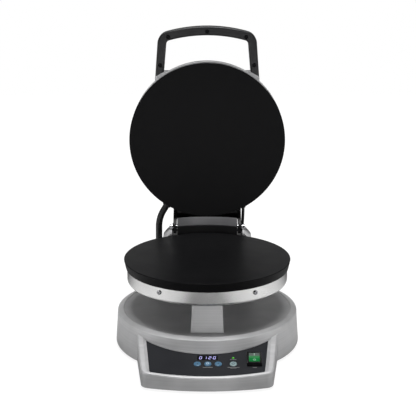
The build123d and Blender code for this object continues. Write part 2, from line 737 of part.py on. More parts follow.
def box_outline(inset=0.0):
    """Plan of the control box: a bowed front, splayed sides and rounded corners."""
    depth = FRONT_REACH - BOX_ROOT
    half_front = BOX_FRONT_WIDTH / 2
    half_root = half_front + depth * tan(radians(BOX_SPLAY_ANGLE))
    sides = Polyline((-half_front, -FRONT_REACH), (half_front, -FRONT_REACH),
                     (half_root, -BOX_ROOT), (-half_root, -BOX_ROOT), close=True)
    outline = make_face(sides) & Pos(0, BOX_ARC_RADIUS - FRONT_REACH) * Circle(BOX_ARC_RADIUS)
    outline = fillet(outline.vertices().group_by(Axis.Y)[0], BOX_CORNER_RADIUS)
    return offset(outline, -inset) if inset else outline


def rear_outline(inset=0.0):
    """Plan of the rear shelf that carries the tower."""
    half = REAR_WIDTH / 2 - inset
    corner = REAR_CORNER_RADIUS - inset
    return rounded_face((
        (-half, REAR_ROOT, 0),
        (half, REAR_ROOT, 0),
        (half, REAR_REACH - inset, corner),
        (-half, REAR_REACH - inset, corner),
    ))


def control_box():
    body = extrude(box_outline(), DECK_HEIGHT)
    body = below(body, PANEL.offset(FRAME_LIP))
    crown = body.faces().sort_by(Axis.Z)[-1]
    outer = crown.edges().sort_by(Axis.Y)[:-1]
    return fillet(outer, BOX_EDGE_ROUNDING)


def rear_shelf():
    shelf = extrude(rear_outline(), RIM_HEIGHT)
    rear = shelf.faces().sort_by(Axis.Z)[-1].edges().sort_by(Axis.Y)[1:]
    shelf = fillet(rear, REAR_EDGE_ROUNDING)
    return shelf - disc(RIM_RADIUS, -OVERRUN, RIM_HEIGHT + OVERRUN)


def fascia_outline(side, front):
    """Panel in its own plane: bowed front, splayed sides, carried on under the drum."""
    half = FASCIA_WIDTH / 2 - side
    far = 2 * FASCIA_DEPTH
    spread = half + far * tan(radians(FASCIA_SPLAY_ANGLE))
    sides = make_face(Polyline((-half, front), (half, front), (spread, far), (-spread, far), close=True))
    outline = sides & Pos(0, FASCIA_ARC_RADIUS) * Circle(FASCIA_ARC_RADIUS - front)
    return fillet(outline.vertices().group_by(Axis.Y)[0], FASCIA_CORNER_RADIUS - side / 2)


def fascia_region(inset, low, high):
    """Space over the control panel within the frame, between two heights off its face."""
    region = PANEL.offset(low) * extrude(fascia_outline(inset, inset), high - low)
    return region - fascia_keep_out(inset)


def frame_bevel():
    """Sloping inner faces of the raised frame, cut wider the higher they are."""
    high = FRAME_LIP + OVERRUN
    share = high / FRAME_LIP
    sections = [
        fascia_outline(0, 0),
        Pos(0, 0, high) * fascia_outline(-FRAME_SIDE_BEVEL * share, -FRAME_FRONT_BEVEL * share),
    ]
    return PANEL * loft(sections) - fascia_keep_out(0)


def fascia_keep_out(inset):
    return turned((
        (0, -OVERRUN, 0),
        (DRUM_RADIUS + FRAME_BACK_LEDGE + inset, -OVERRUN, 0),
        (SHOULDER_RADIUS + FRAME_BACK_LEDGE + inset, DRUM_SHOULDER_HEIGHT, 0),
        (0, DRUM_SHOULDER_HEIGHT, 0),
    ))


def base_cavity():
    ceiling = PANEL.offset(-FASCIA_THICK - FASCIA_SEAT_THICK)
    space = drum(CAST_WALL)
    space += Pos(0, 0, -OVERRUN) * extrude(rear_outline(CAST_WALL), CAVITY_TOP + OVERRUN)
    box = Pos(0, 0, -OVERRUN) * extrude(box_outline(CAST_WALL), DECK_HEIGHT)
    return space + below(box, ceiling)


def deck_holes():
    """Wire and screw holes through the deck and the rear shelf."""
    low, high = CAVITY_TOP - OVERRUN, RIM_HEIGHT + OVERRUN
    holes = [disc(WIRE_HOLE_DIA / 2, low, high)]
    holes.append(disc(WIRE_HOLE_DIA / 2, low, high, 0, (TOWER_FRONT_RADIUS + TOWER_REAR) / 2))
    holes += [clearance_hole(M5, low, high, x, y) for x, y in pedestal_points()]
    holes += [clearance_hole(M5, low, high, x, y) for x, y in TOWER_BOSS_PLACES]
    holes.append(disc(CONDUIT_DIA / 2, low, high, *CONDUIT_PLACE))
    holes.append(disc(LEAD_DIA / 2, low, high, *LEAD_PLACE))
    return holes


def cord_hole():
    seat = Pos(CORD_GLAND_PLACE, REAR_REACH, CORD_GLAND_HEIGHT) * Rot(-90, 0, 0)
    return seat * disc(CORD_GLAND_DIA / 2 + SLIP, -CAST_WALL - OVERRUN, OVERRUN)


def base_casting():
    """Drum, control box and rear shelf as one hollow casting, open below."""
    casting = drum() + control_box() + rear_shelf()
    casting -= base_cavity()
    casting -= fascia_region(0, -FASCIA_THICK, FRAME_LIP + OVERRUN)
    casting -= frame_bevel()
    casting -= fascia_region(FASCIA_SEAT_WIDTH, -FASCIA_THICK - FASCIA_SEAT_THICK - OVERRUN, 0)
    relief = (MODULE_SIZE[0] + 2 * MODULE_RELIEF, MODULE_SIZE[1] + 2 * MODULE_RELIEF)
    casting -= panel_box(relief, -FASCIA_THICK - BOARD_DROP, 0, DISPLAY_PLACE)
    casting -= cord_hole()
    for hole in deck_holes():
        casting -= hole
    for x, y in base_boss_points():
        casting += disc(BASE_BOSS_DIA / 2, BOTTOM_PLATE_TOP, CAVITY_TOP, x, y)
        casting -= tapped_hole(M4, BOTTOM_PLATE_TOP - OVERRUN, BASE_SCREW_LENGTH + OVERRUN, x, y)
    return casting


def bottom_plate():
    """Sheet-steel floor of the base, vented under the power board."""
    inset = CAST_WALL + BOTTOM_PLATE_GAP
    outline = Circle(DRUM_RADIUS - inset) + box_outline(inset) + rear_outline(inset)
    plate = Pos(0, 0, BOTTOM_PLATE_INSET) * extrude(outline, BOTTOM_PLATE_THICK)
    low, high = -OVERRUN, BOTTOM_PLATE_TOP + OVERRUN
    for x, y in base_boss_points():
        plate -= clearance_hole(M4, low, high, x, y)
    for x, y in foot_points():
        plate -= tapped_hole(M4, low, high, x, y)
    for i in range(VENT_COUNT):
        x = (i - (VENT_COUNT - 1) / 2) * VENT_PITCH
        slot = SlotOverall(VENT_SIZE[1], VENT_SIZE[0])
        plate -= Pos(x, VENT_PLACE, low) * Rot(0, 0, 90) * extrude(slot, high - low)
    return plate


def bottom_plate_screws():
    seat = Pos(0, 0, BOTTOM_PLATE_INSET) * Rot(180, 0, 0)
    return [Pos(x, y, 0) * seat * screw(M4, BASE_SCREW_LENGTH) for x, y in base_boss_points()]


def rubber_foot():
    """Moulded foot with a recess for its screw."""
    foot = turned((
        (0, -FOOT_LIFT, 0),
        (FOOT_DIA / 2 - FOOT_DRAW, -FOOT_LIFT, EDGE_SOFTENING),
        (FOOT_DIA / 2, BOTTOM_PLATE_INSET, 0),
        (0, BOTTOM_PLATE_INSET, 0),
    ))
    foot -= disc(FOOT_RECESS_DIA / 2, -FOOT_LIFT - OVERRUN, FOOT_RECESS_DEPTH - FOOT_LIFT)
    return foot - clearance_hole(M4, -FOOT_LIFT, BOTTOM_PLATE_INSET + OVERRUN)


def rubber_feet():
    return [Pos(x, y, 0) * rubber_foot() for x, y in foot_points()]


def foot_screws():
    seat = Pos(0, 0, FOOT_RECESS_DEPTH - FOOT_LIFT) * Rot(180, 0, 0)
    return [Pos(x, y, 0) * seat * screw(M4, FOOT_SCREW_LENGTH) for x, y in foot_points()]


# Control panel: pieces are drawn with the fascia's face at zero and then put on the slope
def key_places():
    row = [(KEY_MIDDLE + i * KEY_PITCH, KEY_ROW) for i in (-1, 0, 1)]
    return row + [(START_KEY_PLACE, KEY_ROW)]


def board_corners():
    half_x = BOARD_SIZE[0] / 2 - BOARD_HOLE_INSET
    half_y = BOARD_SIZE[1] / 2 - BOARD_HOLE_INSET
    return [(BOARD_PLACE[0] + i * half_x, BOARD_PLACE[1] + j * half_y) for i in (-1, 1) for j in (-1, 1)]


def panel_box(size, low, high, place, edge=0.0):
    outline = RectangleRounded(*size, edge) if edge else Rectangle(*size)
    return in_panel(Pos(0, 0, low) * extrude(outline, high - low), place)


def control_fascia():
    """Dark sloping panel with its window, key, lamp and switch openings, and board pillars."""
    fascia = fascia_region(FASCIA_GAP, -FASCIA_THICK, 0)
    low, high = -FASCIA_THICK - OVERRUN, OVERRUN
    through = (DISPLAY_SIZE[0] - 2 * DISPLAY_SEAT, DISPLAY_SIZE[1] - 2 * DISPLAY_SEAT)
    recess = (DISPLAY_SIZE[0] + 2 * SLIP, DISPLAY_SIZE[1] + 2 * SLIP)
    fascia -= panel_box(through, low, high, DISPLAY_PLACE)
    fascia -= panel_box(recess, -DISPLAY_THICK, high, DISPLAY_PLACE, DISPLAY_CORNER)
    body = (ROCKER_BODY_SIZE[0] + 2 * SLIP, ROCKER_BODY_SIZE[1] + 2 * SLIP)
    fascia -= panel_box(body, low, high, ROCKER_PLACE)
    for place in key_places():
        fascia -= in_panel(disc(KEY_DIA / 2 + KEY_CLEARANCE, low, high), place)
    fascia -= in_panel(disc(LAMP_DIA / 2 + SLIP, low, high), LAMP_PLACE)
    for place in board_corners():
        pillar = disc(PILLAR_DIA / 2, -FASCIA_THICK - BOARD_DROP, -FASCIA_THICK)
        pillar -= tapped_hole(M3, -FASCIA_THICK - BOARD_DROP - OVERRUN, -FASCIA_THICK)
        fascia += in_panel(pillar, place)
    return fascia


def display_window():
    return panel_box(DISPLAY_SIZE, -DISPLAY_THICK, 0, DISPLAY_PLACE, DISPLAY_CORNER)


def control_board():
    top = -FASCIA_THICK - BOARD_DROP
    board = panel_box(BOARD_SIZE, top - BOARD_THICK, top, BOARD_PLACE)
    for place in board_corners():
        board -= in_panel(clearance_hole(M3, top - BOARD_THICK - OVERRUN, top + OVERRUN), place)
    return board


def display_module():
    top = -FASCIA_THICK - BOARD_DROP
    return panel_box(MODULE_SIZE, top, -DISPLAY_THICK - REST_GAP, DISPLAY_PLACE)


def key_switches():
    base = -FASCIA_THICK - BOARD_DROP
    height = BOARD_DROP - KEY_FLANGE_THICK - RUNNING_CLEARANCE - KEY_STEM_LENGTH - KEY_TRAVEL - SLIP
    half = SWITCH_SIZE / 2
    switch = block((-half, half), (-half, half), (base, base + SWITCH_HEIGHT))
    switch += disc(SWITCH_PLUNGER_DIA / 2, base + SWITCH_HEIGHT, base + height)
    return [in_panel(switch, place) for place in key_places()]


def key():
    """Round key cap with the flange that keeps it under the fascia, and its stem."""
    flange_top = -FASCIA_THICK - RUNNING_CLEARANCE
    flange_low = flange_top - KEY_FLANGE_THICK
    cap = turned((
        (0, flange_low, 0),
        (KEY_DIA / 2, flange_low, 0),
        (KEY_DIA / 2, KEY_PROUD, KEY_ROUNDING),
        (0, KEY_PROUD, 0),
    ))
    cap += disc(KEY_DIA / 2 + KEY_FLANGE, flange_low, flange_top)
    return cap + disc(KEY_STEM_DIA / 2, flange_low - KEY_STEM_LENGTH, flange_low)


def indicator_lamp():
    base = -FASCIA_THICK - BOARD_DROP
    lens = turned((
        (0, base, 0),
        (LAMP_DIA / 2, base, 0),
        (LAMP_DIA / 2, LAMP_PROUD, LAMP_DIA / 4),
        (0, LAMP_PROUD, 0),
    ))
    return in_panel(lens + disc(LAMP_DIA / 2 + LAMP_FLANGE, base, base + EDGE_SOFTENING), LAMP_PLACE)


def rocker_housing():
    """Bezel and body of the mains switch, with the well that its rocker turns in."""
    bezel = extrude(RectangleRounded(*BEZEL_SIZE, BEZEL_ROUNDING), BEZEL_HEIGHT)
    bezel = chamfer(bezel.edges().group_by(Axis.Z)[-1], BEZEL_ROUNDING)
    body = bezel + Pos(0, 0, -ROCKER_BODY_DEPTH) * extrude(Rectangle(*ROCKER_BODY_SIZE), ROCKER_BODY_DEPTH)
    well = Rectangle(ROCKER_BODY_SIZE[0] - 2 * ROCKER_WALL, ROCKER_BODY_SIZE[1] - 2 * ROCKER_WALL)
    body -= Pos(0, 0, -ROCKER_FLOOR) * extrude(well, ROCKER_FLOOR + BEZEL_HEIGHT + OVERRUN)
    reach = ROCKER_BODY_SIZE[0] / 2
    body -= bar(ROCKER_PIN_DIA / 2 + ROCKER_PIN_CLEARANCE, (-reach, reach), 0, ROCKER_PIVOT_HEIGHT)
    return [in_panel(body, ROCKER_PLACE)] + rocker_terminals()


def rocker():
    """Lit rocker: two shallow slopes over a round belly, turned to its resting tilt."""
    half = ROCKER_LENGTH / 2
    width = ROCKER_BODY_SIZE[0] - 2 * ROCKER_WALL - 2 * ROCKER_GAP
    belly = ROCKER_FLOOR + ROCKER_PIVOT_HEIGHT - EDGE_SOFTENING
    crest = ROCKER_FACE_HEIGHT - ROCKER_PIVOT_HEIGHT
    outline = rounded_face((
        (-half, crest, EDGE_SOFTENING),
        (-half, -ROCKER_WEDGE_DROP / 2, EDGE_SOFTENING),
        (0, -belly, belly / 2),
        (half, -ROCKER_WEDGE_DROP / 2, EDGE_SOFTENING),
        (half, crest, EDGE_SOFTENING),
        (0, crest - ROCKER_WEDGE_DROP / 2, 0),
    ))
    shape = side_plate(outline, (-width / 2, width / 2))
    pin_reach = width / 2 + ROCKER_GAP + ROCKER_PIN_LENGTH
    shape += bar(ROCKER_PIN_DIA / 2, (-pin_reach, pin_reach), 0, 0)
    return in_panel(Pos(0, 0, ROCKER_PIVOT_HEIGHT) * Rot(ROCKER_TILT, 0, 0) * shape, ROCKER_PLACE)


def rocker_terminals():
    blades = []
    for i in (-1, 1):
        for j in (-1, 1):
            blade = Pos(i * BLADE_PITCH[0] / 2, j * BLADE_PITCH[1] / 2, -ROCKER_BODY_DEPTH - BLADE_SIZE[2])
            blades.append(in_panel(blade * extrude(Rectangle(*BLADE_SIZE[:2]), BLADE_SIZE[2]), ROCKER_PLACE))
    return blades


def board_screws():
    """Screws under the control board and through the power board into its spacers."""
    seat = -FASCIA_THICK - BOARD_DROP - BOARD_THICK
    fixing = Pos(0, 0, seat) * Rot(180, 0, 0) * screw(M3, BOARD_SCREW_LENGTH)
    screws = [in_panel(fixing, place) for place in board_corners()]
    screws += [Pos(x, y, POWER_BOARD_TOP) * screw(M3, BOARD_SCREW_LENGTH) for x, y in power_corners()]
    return screws


# Power electronics, on the bottom plate
def power_corners():
    half_x = POWER_BOARD_SIZE[0] / 2 - POWER_HOLE_INSET
    half_y = POWER_BOARD_SIZE[1] / 2 - POWER_HOLE_INSET
    x, y = POWER_BOARD_PLACE
    return [(x + i * half_x, y + j * half_y) for i in (-1, 1) for j in (-1, 1)]


def on_power_board(size, place, edge=EDGE_SOFTENING):
    width, depth, height = size
    x, y = place
    return block((x - width / 2, x + width / 2), (y - depth / 2, y + depth / 2),
                 (POWER_BOARD_TOP, POWER_BOARD_TOP + height), edge)


def power_board():
    x, y = POWER_BOARD_PLACE
    half_x, half_y = POWER_BOARD_SIZE[0] / 2, POWER_BOARD_SIZE[1] / 2
    board = block((x - half_x, x + half_x), (y - half_y, y + half_y), (POWER_BOARD_BASE, POWER_BOARD_TOP))
    for corner in power_corners():
        board -= clearance_hole(M3, POWER_BOARD_BASE - OVERRUN, POWER_BOARD_TOP + OVERRUN, *corner)
    return board


def board_spacers():
    spacers = []
    for corner in power_corners():
        spacer = disc(SPACER_DIA / 2, BOTTOM_PLATE_TOP, POWER_BOARD_BASE, *corner)
        spacers.append(spacer - tapped_hole(M3, BOTTOM_PLATE_TOP - OVERRUN, POWER_BOARD_BASE + OVERRUN, *corner))
    return spacers


def power_relays():
    return [on_power_board(RELAY_SIZE, place) for place in RELAY_PLACES]


def power_transformer():
    """Laminated core with its winding bobbin through it."""
    core = on_power_board(TRANSFORMER_SIZE, TRANSFORMER_PLACE)
    width, depth, height = TRANSFORMER_COIL
    return core + on_power_board((width, TRANSFORMER_SIZE[1] + depth / 2, height), TRANSFORMER_PLACE)


def buzzer():
    x, y = BUZZER_PLACE
    can = disc(BUZZER_DIA / 2, POWER_BOARD_TOP, POWER_BOARD_TOP + BUZZER_HEIGHT, x, y)
    return can - disc(EDGE_SOFTENING, POWER_BOARD_TOP + BUZZER_HEIGHT - EDGE_SOFTENING,
                      POWER_BOARD_TOP + BUZZER_HEIGHT + OVERRUN, x, y)


def terminal_block():
    """Moulded strip with three screw wells, where the mains lead ends."""
    width, depth, height = TERMINAL_BLOCK_SIZE
    x, y = TERMINAL_BLOCK_PLACE
    top = BOTTOM_PLATE_TOP + height
    strip = block((x - width / 2, x + width / 2), (y - depth / 2, y + depth / 2),
                  (BOTTOM_PLATE_TOP, top), EDGE_SOFTENING)
    for i in (-1, 0, 1):
        strip -= disc(TERMINAL_WELL_DIA / 2, top - TERMINAL_WELL_DEPTH, top + OVERRUN,
                      x + i * TERMINAL_WELL_PITCH, y)
    return strip


def cord_gland():
    """Bushing in the rear wall for the mains lead, with a collar outside and a nut inside."""
    inner = -CAST_WALL - CORD_GLAND_COLLAR_THICK
    body = disc(CORD_GLAND_DIA / 2, inner, CORD_GLAND_COLLAR_THICK)
    collar = disc(CORD_GLAND_COLLAR / 2, 0, CORD_GLAND_COLLAR_THICK)
    nut = Pos(0, 0, inner) * extrude(RegularPolygon(CORD_GLAND_COLLAR / 2, 6), CORD_GLAND_COLLAR_THICK)
    nose = Pos(0, 0, CORD_GLAND_COLLAR_THICK) * Cone(
        CORD_GLAND_DIA / 2, CORD_GLAND_BORE / 2 + OVERRUN, CORD_GLAND_LENGTH,
        align=(Align.CENTER, Align.CENTER, Align.MIN))
    body += [collar, nut, nose]
    body -= disc(CORD_GLAND_BORE / 2, inner - OVERRUN, CORD_GLAND_COLLAR_THICK + CORD_GLAND_LENGTH + OVERRUN)
    return Pos(CORD_GLAND_PLACE, REAR_REACH, CORD_GLAND_HEIGHT) * Rot(-90, 0, 0) * body


# Rear tower and hinge, on the base
def tower_outline(inset=0.0):
    """Plan: a hollow front round the lower head, square rear corners rounded off."""
    half = TOWER_WIDTH / 2 - inset
    outline = rounded_face((
        (-half, 0, 0),
        (half, 0, 0),
        (half, TOWER_REAR - inset, TOWER_CORNER - inset),
        (-half, TOWER_REAR - inset, TOWER_CORNER - inset),
    ))
    return outline - Circle(TOWER_FRONT_RADIUS + inset)


def rear_tower():
    """Hollow cast tower with two sloping shoulders that guard the hinge arms."""
    half, crest, slot = TOWER_WIDTH / 2, SHOULDER_CREST / 2, SHOULDER_SLOT / 2
    side_top = SHOULDER_HEIGHT - (half - crest) * tan(radians(SHOULDER_SLOPE))
    front = Polyline(
        (-half, RIM_HEIGHT), (half, RIM_HEIGHT), (half, side_top), (crest, SHOULDER_HEIGHT),
        (slot, SHOULDER_HEIGHT), (slot, TOWER_HEIGHT), (-slot, TOWER_HEIGHT),
        (-slot, SHOULDER_HEIGHT), (-crest, SHOULDER_HEIGHT), (-half, side_top), close=True)
    tower = extrude(Plane.XZ * make_face(front), -TOWER_REAR - OVERRUN)
    tower &= extrude(tower_outline(), SHOULDER_HEIGHT + OVERRUN)
    cavity_top = TOWER_HEIGHT - TOWER_TOP_THICK
    tower -= Pos(0, 0, RIM_HEIGHT - OVERRUN) * extrude(
        tower_outline(TOWER_WALL), cavity_top - RIM_HEIGHT + OVERRUN)
    for x, y in TOWER_BOSS_PLACES:
        tower += disc(TOWER_BOSS_DIA / 2, RIM_HEIGHT, cavity_top, x, y)
        tower -= tapped_hole(M5, RIM_HEIGHT - OVERRUN, RIM_HEIGHT + BASE_SCREW_LENGTH + OVERRUN, x, y)
    for x, y in BLOCK_SCREW_PLACES:
        tower -= clearance_hole(M5, cavity_top - OVERRUN, TOWER_HEIGHT + OVERRUN, x, y)
    tower -= bar(PIN_DIA / 2 + PIN_CRADLE, (-half, half), HINGE_BACK, HINGE_HEIGHT)
    rod_y, rod_z = stop_rod_place()
    return tower - bar(STOP_ROD_DIA / 2 + SLIP, (-half, half), rod_y, rod_z)


def casting_screws():
    """Screws that hold the pedestal, the tower, the hinge block and the lower head."""
    up = Rot(180, 0, 0) * screw(M5, BASE_SCREW_LENGTH)
    screws = [Pos(x, y, CAVITY_TOP) * up for x, y in pedestal_points()]
    screws += [Pos(x, y, CAVITY_TOP) * up for x, y in TOWER_BOSS_PLACES]
    floor = HOUSING_FLOOR + HOUSING_WALL
    screws += [Pos(x, y, floor) * screw(M5, BASE_SCREW_LENGTH) for x, y in pedestal_points()]
    long_up = Rot(180, 0, 0) * screw(M5, TOWER_TOP_THICK + BLOCK_SCREW_GRIP - SLIP)
    screws += [Pos(x, y, TOWER_HEIGHT - TOWER_TOP_THICK) * long_up for x, y in BLOCK_SCREW_PLACES]
    return screws


def stop_rod_place():
    """Centre of the rod that the arms' lower edges meet when the lid is fully open."""
    reach, rise = ARM_POINTS[0]
    span = hypot(reach, rise)
    slope = atan2(rise, reach) + atan2(
        ARM_BOSS_RADIUS - ARM_ROUNDING, sqrt(span ** 2 - (ARM_BOSS_RADIUS - ARM_ROUNDING) ** 2))
    away = ARM_BOSS_RADIUS + STOP_ROD_DIA / 2 + REST_GAP
    y = HINGE_BACK + away * sin(slope) + STOP_REACH * cos(slope)
    z = HINGE_HEIGHT - away * cos(slope) + STOP_REACH * sin(slope)
    return y, z


def hinge_block():
    """Cast block on the tower that holds the hinge pin and the stop rod."""
    y, z = HINGE_BACK, HINGE_HEIGHT
    waist_y, waist_z = HINGE_BLOCK_WAIST
    outline = rounded_face((
        (0, TOWER_HEIGHT, 0),
        (TOWER_REAR, TOWER_HEIGHT, 0),
        (TOWER_REAR, z + HINGE_BLOCK_HEEL, HINGE_BLOCK_ROUNDING),
        (y + waist_y, z + waist_z, HINGE_BLOCK_ROUNDING),
        (y + HINGE_BLOCK_CREST, z + HINGE_BLOCK_RISE, HINGE_BLOCK_ROUNDING),
        (0, z + HINGE_BLOCK_RISE, 0),
    ))
    half = HINGE_BLOCK_WIDTH / 2
    body = side_plate(outline, (-half, half))
    body -= disc(BLOCK_FRONT_RADIUS, 0, z + PLATE_DIA)
    body -= disc(GUARD_RADIUS + GUARD_THICK + SLIP, z + GUARD_TOP - GUARD_HEIGHT - SLIP, z + PLATE_DIA)
    body -= bar(PIN_DIA / 2 + RUNNING_CLEARANCE, (-half - OVERRUN, half + OVERRUN), y, z)
    rod_y, rod_z = stop_rod_place()
    body -= bar(STOP_ROD_DIA / 2 + RUNNING_CLEARANCE, (-half - OVERRUN, half + OVERRUN), rod_y, rod_z)
    for screw_x, screw_y in BLOCK_SCREW_PLACES:
        body -= tapped_hole(M5, TOWER_HEIGHT - OVERRUN, TOWER_HEIGHT + BLOCK_SCREW_GRIP, screw_x, screw_y)
    return body


def guard_band(inner, outer, low, high):
    half = GUARD_WIDTH / 2
    band = disc(outer, low, high) - disc(inner, low - OVERRUN, high + OVERRUN)
    return band & block((-half, half), (0, outer), (low, high))


def hinge_guard():
    """Brushed curved shield in front of the hinge block, round the lower head."""
    high = HINGE_HEIGHT + GUARD_TOP
    return guard_band(GUARD_RADIUS, GUARD_RADIUS + GUARD_THICK, high - GUARD_HEIGHT, high)


def hinge_pin():
    half = PIN_LENGTH / 2
    pin = chamfer(Cylinder(PIN_DIA / 2, PIN_LENGTH).edges(), PIN_CHAMFER)
    clip_place = clip_inner_face()
    for side in (-1, 1):
        ring = Pos(0, 0, side * (clip_place + CLIP_THICK / 2)) * (
            Cylinder(PIN_DIA / 2 + OVERRUN, CLIP_THICK + SLIP)
            - Cylinder(PIN_DIA / 2 - CLIP_GROOVE, CLIP_THICK + SLIP))
        pin -= ring
    return Pos(0, HINGE_BACK, HINGE_HEIGHT) * Rot(0, 90, 0) * pin


def clip_inner_face():
    return SADDLE_WIDTH / 2 + ARM_THICK + REST_GAP


def pin_clips():
    """Open spring clips in the pin's grooves, outside the arms."""
    clip = Circle(CLIP_DIA / 2) - Circle(PIN_DIA / 2 - CLIP_GROOVE + RUNNING_CLEARANCE)
    clip -= Pos(-CLIP_DIA / 2, 0) * Rectangle(CLIP_DIA, CLIP_MOUTH)
    place = Plane.YZ.offset(clip_inner_face()) * Pos(HINGE_BACK, HINGE_HEIGHT)
    return both_sides(place * extrude(clip, CLIP_THICK))


def stop_rod():
    y, z = stop_rod_place()
    return bar(STOP_ROD_DIA / 2, (-STOP_ROD_LENGTH / 2, STOP_ROD_LENGTH / 2), y, z)


# Lid, drawn closed with the upper plate's face at zero
def arm_point(setback, rise):
    """Lid-frame (y, z) of a point given behind and above the hinge axis of the open lid."""
    return HINGE_BACK - rise, LID_HINGE_HEIGHT + setback


def hinge_arm():
    """Right-hand arm: a round eye on the pin, widening to the side of the saddle."""
    circles = (Pos(HINGE_BACK, LID_HINGE_HEIGHT) * Circle(ARM_BOSS_RADIUS)).edges()
    for setback, rise in ARM_POINTS:
        circles += (Pos(*arm_point(setback, rise)) * Circle(ARM_ROUNDING)).edges()
    inner = SADDLE_WIDTH / 2
    arm = side_plate(make_hull(circles), (inner, inner + ARM_THICK))
    arm -= bar(PIN_DIA / 2 + RUNNING_CLEARANCE, (inner - OVERRUN, inner + ARM_THICK + OVERRUN),
               HINGE_BACK, LID_HINGE_HEIGHT)
    for cut in arm_screw_cuts():
        arm -= cut
    return arm


def arm_screw_seats():
    outer = SADDLE_WIDTH / 2 + ARM_THICK
    points = [arm_point(*point) for point in ARM_SCREW_POINTS]
    return [Pos(outer, y, z) * Rot(0, 90, 0) for y, z in points]


def arm_screw_cuts():
    shank, head, _ = M5
    sink = (head - shank) / 2
    cone = turned(((0, SLIP, 0), (head / 2 + 2 * SLIP, SLIP, 0), (shank / 2 + SLIP, -sink, 0), (0, -sink, 0)))
    hole = cone + clearance_hole(M5, -ARM_SCREW_LENGTH - OVERRUN, 0)
    return [seat * hole for seat in arm_screw_seats()]


def arm_screws():
    screws = [seat * countersunk(M5, ARM_SCREW_LENGTH) for seat in arm_screw_seats()]
    return screws + [mirror(item, Plane.YZ) for item in screws]


def hinge_saddle():
    """Cast bracket between the arms, curved to the cover's rim and relieved round the pin."""
    half = SADDLE_WIDTH / 2
    low = LID_HINGE_HEIGHT + SADDLE_FRONT
    outer = HINGE_BACK - SADDLE_DROP
    body = block((-half, half), (0, outer), (low, low + SADDLE_DEPTH))
    body = fillet(body.edges().filter_by(Axis.X).group_by(Axis.Y)[-1], SADDLE_ROUNDING)
    body -= disc(COVER_RADIUS + SLIP, 0, COVER_CENTRE_DEPTH)
    body -= bar(SADDLE_RELIEF, (-half - OVERRUN, half + OVERRUN), HINGE_BACK, LID_HINGE_HEIGHT)
    for seat in saddle_screw_seats():
        body -= seat * clearance_hole(M5, -outer, OVERRUN)
    shank = M5[0] / 2 + RUNNING_CLEARANCE
    for y, z in [arm_point(*point) for point in ARM_SCREW_POINTS]:
        body -= bar(shank, (half + ARM_THICK - ARM_SCREW_LENGTH - OVERRUN, half + OVERRUN), y, z)
        body -= bar(shank, (-half - OVERRUN, -half - ARM_THICK + ARM_SCREW_LENGTH + OVERRUN), y, z)
    return body


def saddle_screw_seats():
    y = HINGE_BACK - SADDLE_DROP
    z = LID_HINGE_HEIGHT + SADDLE_SCREW_SETBACK
    return [Pos(x, y, z) * Rot(-90, 0, 0) for x in SADDLE_SCREW_PLACES]


def saddle_screw_length(x):
    rim = sqrt(COVER_RADIUS ** 2 - x ** 2)
    return HINGE_BACK - SADDLE_DROP - rim + SADDLE_SCREW_GRIP


def saddle_screws():
    seats = zip(SADDLE_SCREW_PLACES, saddle_screw_seats())
    return [seat * screw(M5, saddle_screw_length(x)) for x, seat in seats]


def cover_profile(inset):
    """Half section of the cover: upright rim, rounded shoulder and shallow dome."""
    radius, crown = COVER_RADIUS - inset, COVER_CENTRE_DEPTH - inset
    sphere = COVER_SPHERE - inset
    edge = crown - sphere + sqrt(sphere ** 2 - radius ** 2)
    middle = radius / 2
    dome_middle = crown - sphere + sqrt(sphere ** 2 - middle ** 2)
    face = make_face([
        Line((0, PLATE_THICK), (radius, PLATE_THICK)),
        Line((radius, PLATE_THICK), (radius, edge)),
        ThreePointArc((radius, edge), (middle, dome_middle), (0, crown)),
        Line((0, crown), (0, PLATE_THICK)),
    ])
    corner = face.vertices().sort_by_distance((radius, edge, 0))[0]
    return fillet(corner, COVER_SHOULDER - inset)


def ear():
    """Right-hand ear on the cover's rim, with the tongue that the handle clamps."""
    angle = radians(EAR_SEAT_ANGLE)
    tip = Vector(EAR_HALF_WIDTH, -EAR_SEAT_REACH)
    inner = tip + Vector(-cos(angle), -sin(angle)) * EAR_SEAT_WIDTH
    outline = Polyline(
        tip, inner, inner - Vector(EAR_FLAT_WIDTH, 0), (EAR_HALF_WIDTH - EAR_ROOT_WIDTH, -EAR_ROOT_REACH),
        (EAR_HALF_WIDTH, -EAR_ROOT_REACH), close=True)
    low, high = HANDLE_FRONT_FACE, HANDLE_FRONT_FACE + HANDLE_THICK
    body = Pos(0, 0, low) * extrude(make_face(outline), high - low)
    body = fillet(body.edges().filter_by(Axis.Z).sort_by_distance(tip)[0], EDGE_SOFTENING)
    middle = low + HANDLE_THICK / 2
    x, y, half = HANDLE_SCREW_POINTS[-1][0], -HANDLE_SCREW_POINTS[-1][1], TONGUE_WIDTH / 2
    tongue = block((x - half, x + half), (y - half, y - half + TONGUE_LENGTH),
                   (middle - TONGUE_THICK / 2, middle + TONGUE_THICK / 2), EDGE_SOFTENING)
    return body + tongue - clearance_hole(M4, low - OVERRUN, high + OVERRUN, x, y)


